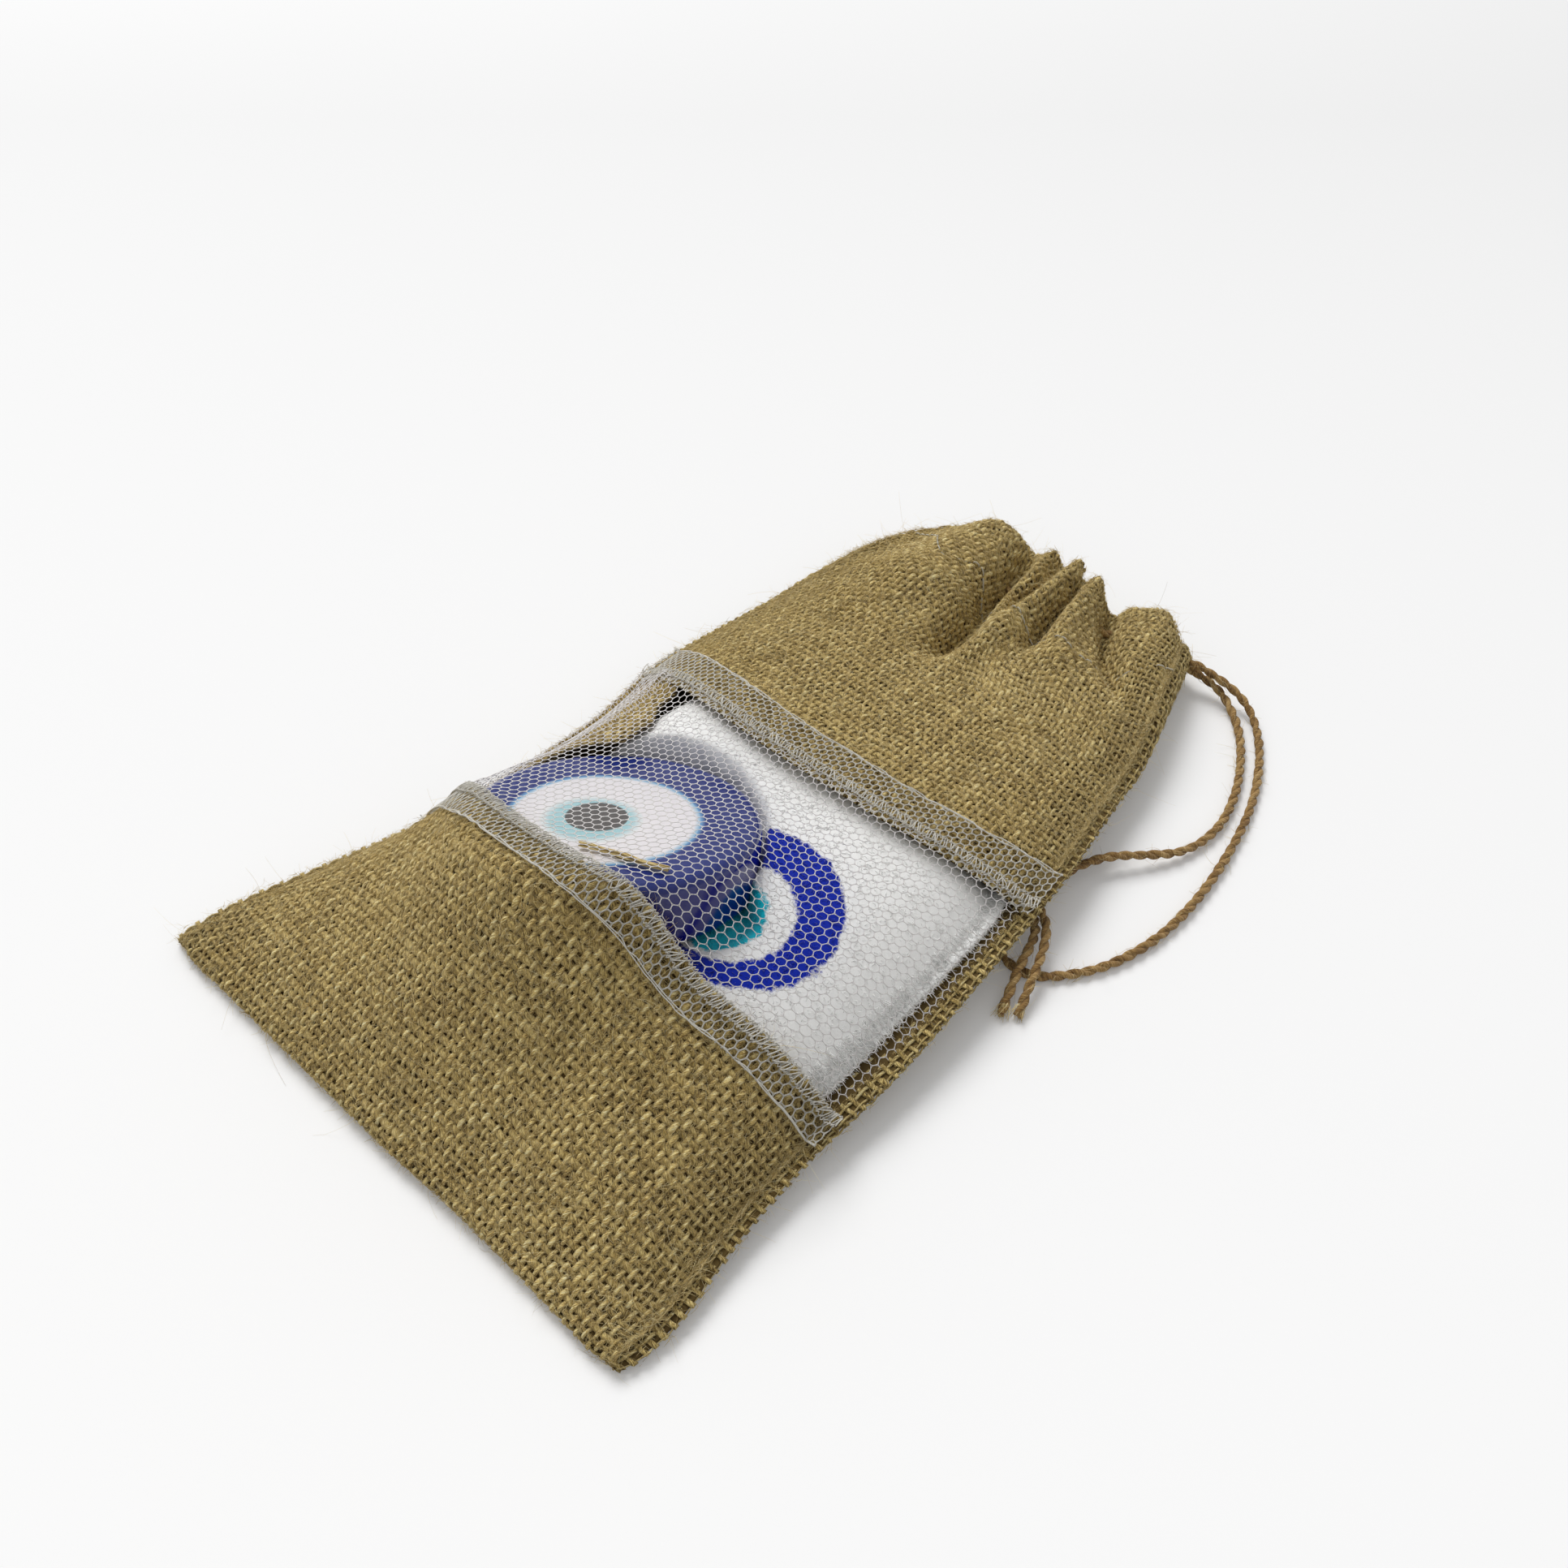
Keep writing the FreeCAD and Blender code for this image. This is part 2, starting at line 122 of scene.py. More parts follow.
def along(table: Table, at: Array) -> Array:
    """Read a table of pairs on a smooth curve through them.

    Args:
        table: Pairs of place and value, in rising order of place.
        at: Places to read, held to the table's ends.

    Returns:
        The value at each place.
    """
    places, values = (np.array(column, float) for column in zip(*table))
    at = np.clip(np.asarray(at, float), places[0], places[-1])
    index = np.clip(np.searchsorted(places, at, side="right") - 1, 0, len(places) - 2)
    before, after = np.maximum(index - 1, 0), np.minimum(index + 2, len(places) - 1)
    span = places[index + 1] - places[index]
    low, high = values[index], values[index + 1]
    slope_low = (high - values[before]) / (places[index + 1] - places[before]) * span
    slope_high = (values[after] - low) / (places[after] - places[index]) * span
    t = (at - places[index]) / span
    return (
        low * (2 * t**3 - 3 * t**2 + 1)
        + slope_low * (t**3 - 2 * t**2 + t)
        + high * (3 * t**2 - 2 * t**3)
        + slope_high * (t**3 - t**2)
    )


def soft_max(a: Array, b: Array, blend: float) -> Array:
    """Greater of two heights, with a rounded change between them."""
    return 0.5 * (a + b + np.sqrt((a - b) ** 2 + blend**2))


def soft_min(a: Array, b: Array, blend: float) -> Array:
    """Lesser of two heights, with a rounded change between them."""
    return -soft_max(-a, -b, blend)


def unit(vectors: Array) -> Array:
    """Vectors scaled to length one."""
    return vectors / np.maximum(np.linalg.norm(vectors, axis=-1, keepdims=True), 1e-9)


def run_length(lines: Array) -> Array:
    """Distance along each line of shape (lines, points, 3)."""
    steps = np.linalg.norm(np.diff(lines, axis=1), axis=2)
    return np.concatenate([np.zeros((len(lines), 1)), np.cumsum(steps, axis=1)], axis=1)


def even_rows(points: Array, count: int) -> Array:
    """Space each row of a grid evenly along its length.

    Args:
        points: Grid of shape (rows, columns, 3).
        count: Columns wanted.

    Returns:
        Grid of shape (rows, count, 3).
    """
    share = np.linspace(0.0, 1.0, count)
    return np.array(
        [
            np.stack([np.interp(share * reach[-1], reach, row[:, axis]) for axis in range(3)], axis=1)
            for row, reach in zip(points, run_length(points))
        ]
    )


def slow_noise(rng: Generator, shape: tuple[int, int], knots: int) -> Array:
    """Smooth random rows between -1 and 1.

    Args:
        rng: Seeded source of numbers.
        shape: Rows and columns wanted.
        knots: Random values along each row.

    Returns:
        Array of that shape.
    """
    rows, columns = shape
    knots = max(knots, 2)
    values = rng.uniform(-1.0, 1.0, (rows, knots + 1))
    at = np.linspace(0.0, knots - 1e-6, columns)
    index, part = at.astype(int), at - at.astype(int)
    ease = part * part * (3 - 2 * part)
    return values[:, index] * (1 - ease) + values[:, index + 1] * ease


# ---------------------------------------------------------------- shape of the pouch


@dataclass(frozen=True)
class Fold:
    """One ridge or valley of the gathered mouth, in millimetres.

    Attributes:
        line: Its X at each Y.
        half_width: Half width at the mouth.
        height: Height, below zero for a valley.
        start: Y where it starts.
        full: Y where it has its full height.
        flare: Share of its height that it loses at the very edge.
    """

    line: Table
    half_width: float
    height: float
    start: float
    full: float
    flare: float = 0.0

    def rise(self, x: Array, y: Array, mouth: float) -> Array:
        """Height that this fold adds at (x, y)."""
        fade = smoothstep((y - self.start) / (self.full - self.start))
        fade = fade * (1.0 - self.flare * smoothstep((y - mouth + 9.0) / 8.0))
        spread = self.half_width * (1.0 + 0.012 * (mouth - y))
        return self.height * fade * np.exp(-(((x - along(self.line, y)) / spread) ** 2))


@dataclass(frozen=True)
class PouchShape:
    """Edges and heights of the laid-down pouch, in millimetres."""

    bottom: float = -113.0
    mouth: float = 113.0
    casing: float = 94.0
    seam_width: float = 4.0
    seam_thickness: float = 3.0
    lift_reach: float = 30.0
    casing_rise: float = 6.5
    rise_start: float = 55.0
    bottom_lean: Table = (
        (-74.0, -2.0), (-60.0, -1.9), (-36.0, -1.6), (-12.0, -1.1), (4.0, -0.7), (20.0, 0.3), (36.0, 0.8),
        (71.0, 1.2),
    )  # fmt: skip
    right_edge: Table = (
        (-113.0, 69.6), (-98.0, 70.7), (-80.0, 68.4), (-60.0, 67.6), (-35.0, 68.4), (-10.0, 67.4),
        (25.0, 64.8), (50.0, 60.6), (70.0, 56.9), (94.0, 49.5), (113.0, 43.5),
    )  # fmt: skip
    left_edge: Table = (
        (-113.0, -73.6), (-100.0, -71.2), (-85.0, -66.6), (-64.0, -60.4), (-40.0, -55.6), (-10.0, -54.2),
        (18.0, -57.6), (48.0, -55.4), (70.0, -52.8), (94.0, -45.5), (113.0, -35.5),
    )  # fmt: skip
    right_lift: Table = (
        (-113.0, 0.0), (-90.0, 2.0), (-45.0, 5.5), (0.0, 8.5), (40.0, 8.5), (75.0, 6.0), (113.0, 2.0),
    )  # fmt: skip
    left_lift: Table = (
        (-113.0, 0.0), (-90.0, 1.5), (-45.0, 3.5), (0.0, 4.0), (40.0, 4.0), (75.0, 3.0), (113.0, 2.0),
    )  # fmt: skip
    crown: Table = (
        (-113.0, 2.6), (-98.0, 13.0), (-80.0, 22.0), (-60.0, 27.0), (-30.0, 27.5), (0.0, 25.0),
        (21.0, 19.5), (50.0, 16.5), (80.0, 14.0), (113.0, 12.0),
    )  # fmt: skip
    lower_join: Table = (
        (-66.0, -49.5), (-24.0, -58.0), (2.0, -59.4), (20.0, -57.0), (32.0, -57.0), (45.0, -55.0),
        (70.0, -51.5),
    )  # fmt: skip
    upper_join: Table = ((-66.0, 13.5), (-10.0, 2.6), (26.0, 3.6), (45.0, 7.8), (70.0, 16.0))
    mouth_line: Table = (
        (-44.0, 98.0), (-38.0, 103.4), (-32.0, 108.6), (-25.6, 110.8), (-18.0, 112.0), (-11.0, 113.4),
        (-4.0, 115.0), (4.4, 115.0), (9.0, 112.6), (13.0, 112.4), (17.0, 111.2), (24.0, 112.6), (32.0, 114.6),
        (38.0, 112.6), (44.0, 107.0),
    )  # fmt: skip
    folds: tuple[Fold, ...] = (
        Fold(((50.0, -30.0), (76.0, -26.0), (92.0, -22.5), (113.0, -20.0)), 9.5, 7.8, 50.0, 82.0),
        Fold(
            ((58.0, -3.0), (72.0, -3.0), (90.0, -5.6), (104.0, -7.8), (113.0, -9.2)),
            2.8, -9.0, 52.0, 72.0, 0.85,
        ),
        Fold(((76.0, -0.8), (86.0, -1.6), (100.0, -2.4), (113.0, -3.2)), 2.2, 3.4, 72.0, 90.0),
        Fold(((84.0, 2.4), (100.0, 1.8), (113.0, 1.0)), 1.2, -2.6, 78.0, 92.0, 0.6),
        Fold(((62.0, 4.8), (82.0, 5.4), (100.0, 5.4), (113.0, 5.0)), 2.8, 4.8, 54.0, 80.0),
        Fold(((80.0, 13.2), (95.0, 10.8), (106.0, 9.4), (113.0, 8.8)), 1.6, -5.4, 72.0, 90.0, 0.7),
        Fold(((74.0, 25.0), (90.0, 17.6), (102.0, 14.2), (113.0, 12.6)), 3.4, 4.8, 66.0, 90.0),
        Fold(
            ((78.0, 43.0), (87.2, 33.2), (99.6, 24.2), (106.0, 21.0), (113.0, 18.8)),
            2.6, -7.4, 74.0, 90.0, 0.4,
        ),
        Fold(((88.0, 47.0), (100.0, 42.0), (106.0, 38.0), (113.0, 34.4)), 7.6, 4.6, 80.0, 98.0),
    )
    disc_top: Point = (-8.4, -39.0, 29.3)
    disc_axis: Point = (-0.197, 0.308, 0.931)
    disc_radius: float = 31.0
    disc_thickness: float = 15.0
    net_over_disc: float = 2.9
    net_fall: float = 1.0

    def leaned(self, points: Array) -> Array:
        """Points with the bottom edge at its slight slant."""
        points = points.copy()
        near = smoothstep((self.bottom + 26.0 - points[..., 1]) / 24.0)
        points[..., 1] += along(self.bottom_lean, points[..., 0]) * near
        return points

    def left(self, y: Array) -> Array:
        """X of the left edge."""
        return along(self.left_edge, y)

    def right(self, y: Array) -> Array:
        """X of the right edge."""
        return along(self.right_edge, y)

    def underside(self, x: Array, y: Array) -> Array:
        """Lower face of the back: flat on the table, and raised towards the side seams."""
        from_right = (self.lift_reach - (self.right(y) - x)) / self.lift_reach
        from_left = (self.lift_reach - (x - self.left(y))) / self.lift_reach
        right, left = along(self.right_lift, y), along(self.left_lift, y)
        return right * smoothstep(from_right) + left * smoothstep(from_left)

    def seam_top(self, x: Array, y: Array) -> Array:
        """Upper face of a side seam, which thickens towards the casing."""
        rise = smoothstep((y - self.rise_start) / (self.casing - self.rise_start))
        return self.underside(x, y) + self.seam_thickness + self.casing_rise * rise

    def disc_plane(self, x: Array, y: Array, drop: float = 0.0) -> Array:
        """Height over (x, y) of the disc's top face, lowered by drop along its axis."""
        axis = np.array(self.disc_axis) / np.linalg.norm(self.disc_axis)
        centre = np.array(self.disc_top) - axis * drop
        return centre[2] - (axis[0] * (x - centre[0]) + axis[1] * (y - centre[1])) / axis[2]

    def over_disc(self, x: Array, y: Array) -> Array:
        """Height of the cloth on the disc, from whose rim it falls away steeply."""
        away_x, away_y = x - self.disc_top[0], y - self.disc_top[1]
        length, held = np.hypot(away_x, away_y), self.disc_radius - 1.0
        reach = length - held
        scale = np.where(reach > 0, held / np.maximum(length, 1e-6), 1.0)
        held_x, held_y = self.disc_top[0] + away_x * scale, self.disc_top[1] + away_y * scale
        rim = self.disc_plane(held_x, held_y, -self.net_over_disc)
        return rim - self.net_fall * soft_max(reach, np.zeros_like(reach), 4.0)

    def front(self, x: Array, y: Array) -> Array:
        """Upper face of the front: a crowned sheet that lies over the contents."""
        low, high = self.left(y) + self.seam_width, self.right(y) - self.seam_width
        share = np.clip((x - low) / (high - low), 0.0, 1.0)
        across = 2 * share - 1
        edge = self.seam_top(low, y) * (1 - share) + self.seam_top(high, y) * share
        crown = 1 - 0.4 * across**2 - 0.6 * np.abs(across) ** 5
        gathers = sum(fold.rise(x, y, self.mouth) for fold in self.folds)
        sheet = edge + (along(self.crown, y) - edge) * crown + gathers * (1 - across**6)
        near_seam = smoothstep((1 - np.abs(across)) / 0.3) * smoothstep((y - self.bottom) / 18.0)
        bump = soft_max(sheet, self.over_disc(x, y), 5.0) - soft_max(sheet, sheet - 40.0, 5.0)
        return sheet + bump * near_seam


SHAPE = PouchShape()


@dataclass
class ClothGrid:
    """A curved sheet as a grid of points: rows run across, and follow each other along the length.

    Attributes:
        points: Places of shape (rows, columns, 3), in millimetres.
        facing: 1 where the outer face looks along across × lengthways, and -1 where it looks the other way.
    """

    points: Array
    facing: float = 1.0
    normals: Array = field(init=False)
    across: Array = field(init=False)
    lengthways: Array = field(init=False)

    def __post_init__(self) -> None:
        """Work out the grid's directions."""
        self.lengthways = unit(np.gradient(self.points, axis=0))
        self.across = unit(np.gradient(self.points, axis=1))
        self.normals = unit(np.cross(self.across, self.lengthways)) * self.facing

    def resampled(self, rows: int, columns: int) -> ClothGrid:
        """Space the grid evenly both ways.

        Args:
            rows: Rows wanted.
            columns: Columns wanted.

        Returns:
            A new grid of that size.
        """
        wide = even_rows(self.points, columns)
        return ClothGrid(even_rows(wide.transpose(1, 0, 2), rows).transpose(1, 0, 2), self.facing)

    def sunk(self, depth: float) -> ClothGrid:
        """The same sheet, a depth further in."""
        return ClothGrid(self.points - self.normals * depth, self.facing)

    def with_lip(self, radius: float, depth: float) -> ClothGrid:
        """Turn the last row over, inwards.

        Args:
            radius: Radius of the turned edge.
            depth: How far the cloth goes back inside.

        Returns:
            The grid with its hem.
        """
        last, normal = self.points[-1], self.normals[-1]
        ahead = self.lengthways[-1]
        rows = [
            last + normal * radius * (math.cos(a) - 1.0) + ahead * radius * math.sin(a)
            for a in np.linspace(0.0, math.pi, 10)[1:]
        ]
        back = run_length(self.points.transpose(1, 0, 2)[::40]).mean(axis=0)
        inside = [
            self.points[k] - self.normals[k] * 2 * radius
            for k in range(len(self.points) - 2, 0, -1)
            if back[-1] - back[k] <= depth
        ]
        return ClothGrid(np.concatenate([self.points, np.array(rows + inside)]), self.facing)

    def at(self, across: Array, lengthways: Array) -> tuple[Array, Array]:
        """Read the sheet at shares across and lengthways.

        Args:
            across: Shares from 0 to 1.
            lengthways: Shares from 0 to 1.

        Returns:
            Points and outward directions there.
        """
        rows, columns = self.points.shape[:2]
        column, row = np.clip(across, 0, 1) * (columns - 1.001), np.clip(lengthways, 0, 1) * (rows - 1.001)
        i, j = column.astype(int), row.astype(int)
        s, t = (column - i)[..., None], (row - j)[..., None]
        values = [
            (a[j, i] * (1 - s) + a[j, i + 1] * s) * (1 - t)
            + (a[j + 1, i] * (1 - s) + a[j + 1, i + 1] * s) * t
            for a in (self.points, self.normals)
        ]
        return values[0], unit(values[1])


def over_height(
    near: Callable[[Array], Array], far: Callable[[Array], Array], height: Callable[[Array, Array], Array],
    insets: Pair,
) -> ClothGrid:  # fmt: skip
    """Lay a fine grid between the side edges, on a height function.

    Args:
        near: Y of the first row, from X.
        far: Y of the last row, from X.
        height: Z from X and Y.
        insets: Distance kept from the left and from the right edge.

    Returns:
        The grid.
    """
    part, share = np.meshgrid(np.linspace(0.0, 1.0, FINE_COLUMNS), np.linspace(0.0, 1.0, FINE_ROWS))
    x = -60.0 + 120.0 * part
    for _ in range(SETTLING_ROUNDS):
        y = near(x) * (1 - share) + far(x) * share
        x = (SHAPE.left(y) + insets[0]) * (1 - part) + (SHAPE.right(y) - insets[1]) * part
    return ClothGrid(SHAPE.leaned(np.stack([x, y, height(x, y)], axis=2)))


def beside_join(join: Table, reach: Pair, inset: float) -> ClothGrid:
    """Surface of the front along a join, from reach[0] to reach[1] past it."""
    return over_height(
        lambda x: along(join, x) + reach[0], lambda x: along(join, x) + reach[1], SHAPE.front, (inset, inset)
    )


# ---------------------------------------------------------------- meshes


def linked(name: str, data: bpy.types.ID) -> Piece:
    """A new object of the scene."""
    piece = bpy.data.objects.new(name, data)
    bpy.context.scene.collection.objects.link(piece)
    return piece


@dataclass
class Soup:
    """Points and faces of one piece, in millimetres, as it is put together."""

    points: list[Array] = field(default_factory=list)
    faces: list[Array] = field(default_factory=list)
    maps: list[Array] = field(default_factory=list)
    tones: list[Array] = field(default_factory=list)
    fibres: list[Array] = field(default_factory=list)
    count: int = 0

    def add(self, points: Array, faces: list[Array], maps: list[Array], tones: Array, fibres: Array) -> None:
        """Add points with their faces.

        Args:
            points: Places of shape (n, 3).
            faces: Arrays of point numbers, one array for each number of corners.
            maps: Layout of each face corner, matching faces.
            tones: Shade of each point.
            fibres: Place round the strand (two numbers) and along it, for each point.
        """
        self.points.append(points)
        self.faces.extend(face + self.count for face in faces)
        self.maps.extend(maps)
        self.tones.append(tones)
        self.fibres.append(fibres)
        self.count += len(points)

    def build(self, name: str, material: Material, body: Body | None, slot: Slot) -> Piece:
        """Make the piece.

        Args:
            name: The piece's name.
            material: Its finish.
            body: Body that it rides on, or None to leave it on no body.
            slot: Material slot of the record. Not used.

        Returns:
            The new object, linked to the scene.
        """
        mesh = bpy.data.meshes.new(name)
        points = np.concatenate(self.points) * MM
        loops = np.concatenate([face.ravel() for face in self.faces]).astype(np.int32)
        totals = np.concatenate([np.full(len(face), face.shape[1]) for face in self.faces]).astype(np.int32)
        starts = np.concatenate([[0], np.cumsum(totals)[:-1]]).astype(np.int32)
        mesh.vertices.add(len(points))
        mesh.vertices.foreach_set("co", points.astype(np.float32).ravel())
        mesh.loops.add(len(loops))
        mesh.loops.foreach_set("vertex_index", loops)
        mesh.polygons.add(len(totals))
        mesh.polygons.foreach_set("loop_start", starts)
        mesh.polygons.foreach_set("loop_total", totals)
        mesh.update(calc_edges=True)
        mesh.polygons.foreach_set("use_smooth", np.ones(len(mesh.polygons), bool))
        layout = mesh.uv_layers.new(name="OFBake")
        corners = np.concatenate([m.reshape(-1, 2) for m in self.maps]).astype(np.float32)
        layout.uv.foreach_set("vector", corners.ravel())
        tone = mesh.attributes.new("tone", "FLOAT", "POINT")
        tone.data.foreach_set("value", np.concatenate(self.tones).astype(np.float32))
        fibre = mesh.attributes.new("fibre", "FLOAT_VECTOR", "POINT")
        fibre.data.foreach_set("vector", np.concatenate(self.fibres).astype(np.float32).ravel())
        mesh.materials.append(material)
        piece = linked(name, mesh)
        if body is None:
            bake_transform(piece)
        else:
            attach(piece, body.value)
        LOG.info("%s: %d points, %d faces", name, len(points), len(totals))
        return piece

    def strands(
        self, centres: Array, wide: Array | float, thick: Array | float, normals: Array, sides: int,
        tones: Array | float, capped: bool = True, band: Pair = (0.0, 1.0),
    ) -> None:  # fmt: skip
        """Add strands that all have the same number of points. What has fewer axes is the same all along.

        Args:
            centres: Lines of shape (strands, points, 3).
            wide: Half width in the surface.
            thick: Half thickness off the surface.
            normals: Surface direction.
            sides: Corners of the section.
            tones: Shade.
            capped: Whether the ends are closed.
            band: Part of the layout's height that these strands take.
        """
        count, length, _ = centres.shape
        looks = (np.broadcast_to(value, (count, length))[..., None] for value in (wide, thick, tones))
        wide, thick, tones = looks
        direction = unit(np.gradient(centres, axis=1))
        sideways = unit(np.cross(direction, normals))
        upwards = unit(np.cross(sideways, direction))
        turn = np.arange(sides) / sides * 2 * math.pi - math.pi / 2 + math.pi / sides
        ring = (
            centres[:, :, None, :]
            + sideways[:, :, None, :] * (np.cos(turn) * wide)[..., None]
            + upwards[:, :, None, :] * (np.sin(turn) * thick)[..., None]
        )
        number = np.arange(count * length * sides).reshape(count, length, sides)
        beside = np.roll(number, -1, axis=2)
        corners = number[:, :-1], beside[:, :-1], beside[:, 1:], number[:, 1:]
        faces = [np.stack(corners, axis=-1).reshape(-1, 4)]
        columns = min(count, max(1, round(math.sqrt(count * 6))))
        rows = math.ceil(count / columns)
        left = (np.arange(count) % columns) / columns
        low = band[0] + (np.arange(count) // columns) / rows * (band[1] - band[0])
        tall = (band[1] - band[0]) / rows
        u = left[:, None, None] + (np.arange(sides + 1) / sides * 0.9 + 0.05)[None, None, :] / columns
        v = low[:, None, None] + (np.linspace(0.06, 0.9, length) * tall)[None, :, None]
        u, v = (np.broadcast_to(a, (count, length, sides + 1)) for a in (u, v))
        place = np.stack([u, v], axis=-1)
        corners = place[:, :-1, :-1], place[:, :-1, 1:], place[:, 1:, 1:], place[:, 1:, :-1]
        maps = [np.stack(corners, axis=-2)]
        if capped:
            faces.append(np.concatenate([number[:, 0, ::-1], number[:, -1]]))
            disc = np.stack([np.cos(turn) * 0.4 / columns, np.sin(turn) * 0.02 * tall], axis=-1)
            start, finish = (
                np.stack([left + 0.5 / columns, low + share * tall], axis=-1)[:, None, :] + ring_map[None]
                for share, ring_map in ((0.03, disc[::-1]), (0.93, disc))
            )
            maps.append(np.concatenate([start, finish]))
        fibre = np.empty((count, length, sides, 3))
        fibre[..., 0] = np.cos(turn)
        fibre[..., 1] = np.sin(turn)
        fibre[..., 2] = (run_length(centres) + (np.arange(count) * 23.7 % 500.0)[:, None])[..., None]
        tones = np.repeat(tones, sides, axis=2).ravel()
        self.add(ring.reshape(-1, 3), faces, maps, tones, fibre.reshape(-1, 3))

    def stray(
        self, rng: Generator, roots: Array, normals: Array, ahead: Array, length: Pair, radius: float,
        lift: Pair, curl: float = 0.6, points: int = 5, band: Pair = (0.0, 1.0), tone: float = 0.0,
        flat: float = 1.0,
        floor: float = -math.inf,
    ) -> None:  # fmt: skip
        """Bend short fibres out of a surface.

        Args:
            rng: Seeded source of numbers.
            roots: Where they start.
            normals: Surface direction at each root.
            ahead: Direction that each sets out in, in the surface.
            length: Shortest and longest.
            radius: Half thickness at the root.
            lift: Least and greatest rise for each unit of length.
            curl: How much they bend sideways.
            points: Points along each.
            band: Part of the layout's height that they take.
            tone: Change of their shade.
            flat: Thickness of a fibre as a share of its width.
            floor: Height that no point goes below.
        """
        count = len(roots)
        share = np.linspace(0, 1, points)[None, :]
        run = rng.uniform(*length, (count, 1)) * share
        side = unit(np.cross(normals, ahead))
        bend = rng.normal(0.0, curl, (count, 1)) * share * run
        rise = rng.uniform(*lift, (count, 1)) * run * (1 - 0.45 * share)
        rise = rise + rng.normal(0, 0.08, (count, 1)) * run * share
        lines = roots[:, None]
        for way, far in ((ahead, run), (side, bend), (normals, rise)):
            lines = lines + way[:, None] * far[..., None]
        lines[..., 2] = np.maximum(lines[..., 2], floor)
        size = radius * rng.uniform(0.6, 1.3, (count, 1)) * (1 - 0.6 * share)
        shade = rng.normal(0.6, 0.5, (count, 1)) + tone
        self.strands(lines, size, size * flat, side[:, None, :], 3, shade, band=band)

    def sheet(self, grid: ClothGrid) -> None:
        """Add a plain sheet."""
        rows, columns = grid.points.shape[:2]
        number = np.arange(rows * columns).reshape(rows, columns)
        corners = number[:-1, :-1], number[:-1, 1:], number[1:, 1:], number[1:, :-1]
        quads = np.stack(corners, axis=-1).reshape(-1, 4)
        if grid.facing < 0:
            quads = quads[:, ::-1]
        u, v = np.meshgrid(np.linspace(0.01, 0.99, columns), np.linspace(0.01, 0.99, rows))
        place = np.stack([u, v], axis=-1).reshape(-1, 2)
        fibre = np.stack([u.ravel(), v.ravel(), 0 * u.ravel()], axis=-1)
        self.add(grid.points.reshape(-1, 3), [quads], [place[quads]], np.zeros(rows * columns), fibre)


@dataclass(frozen=True)
class Weave:
    """Plain weave of round yarns, in millimetres.

    Attributes:
        thick: Half thickness of a lengthways and of a crossways yarn.
        fill: Half width of each as a share of the distance to the next.
        wave: How far each swings up and down.
        worn: How much thinner the yarns get towards the sheet's sides.
    """

    thick: Pair = (0.36, 0.33)
    fill: Pair = (0.32, 0.40)
    wave: Pair = (0.36, 0.17)
    worn: float = 0.3

    def yarns(
        self, grid: ClothGrid, counts: tuple[int, int], lengthways: bool, samples: int, sides: int, seed: int
    ) -> Soup:  # fmt: skip
        """Weave one set of yarns on a sheet.

        Args:
            grid: The sheet.
            counts: Numbers of lengthways and crossways yarns.
            lengthways: Whether to weave the yarns that run along the length.
            samples: Points along a yarn for each crossing.
            sides: Corners of a yarn's section.
            seed: Seed of its unevenness.

        Returns:
            The yarns as one soup.
        """
        rng = np.random.default_rng(seed)
        even = grid.resampled(counts[1] * samples + 1, counts[0] * samples + 1)
        turn = (1, 0, 2) if lengthways else (0, 1, 2)
        beside = even.across if lengthways else even.lengthways
        points, normals, side = (
            a.transpose(turn)[samples // 2 :: samples] for a in (even.points, even.normals, beside)
        )
        count, length = points.shape[:2]
        crossings = counts[1] if lengthways else counts[0]
        gap = np.linalg.norm(np.gradient(points, axis=0), axis=2)
        sign = np.where(np.arange(count) % 2 == 0, 1.0, -1.0) * (1.0 if lengthways else -1.0)
        swing = np.cos(math.pi * (np.arange(length) / samples - 0.5))[None, :] * sign[:, None]
        fast, medium, slow = (
            slow_noise(rng, (count, length), crossings // spread) for spread in (1, 3, 8)
        )
        fat = (1.0 + 0.10 * fast + 0.14 * medium) * (1.0 + rng.normal(0.0, 0.08, (count, 1))).clip(0.8, 1.3)
        reach = np.abs(np.linspace(-1, 1, count if lengthways else length))
        reach = reach[:, None] if lengthways else reach[None, :]
        fat = fat * (1.0 - self.worn * smoothstep((reach - 0.74) / 0.26))
        drift = (0.10 * slow_noise(rng, (count, length), crossings // 2) + 0.20 * slow) * gap / 2.0
        lift = 0.07 * slow_noise(rng, (count, length), crossings)
        way = 0 if lengthways else 1
        centres = points + normals * (self.wave[way] * swing + lift)[..., None] + side * drift[..., None]
        tone = rng.normal(0.0, 0.18, (count, 1)) + 0.75 * slow_noise(rng, (count, length), crossings)
        tone = tone + 0.3 * medium
        soup = Soup()
        wide = np.minimum(self.fill[way] * gap, 1.05) * fat
        soup.strands(centres, wide, self.thick[way] * fat, normals, sides, tone)
        return soup


# ---------------------------------------------------------------- finishes


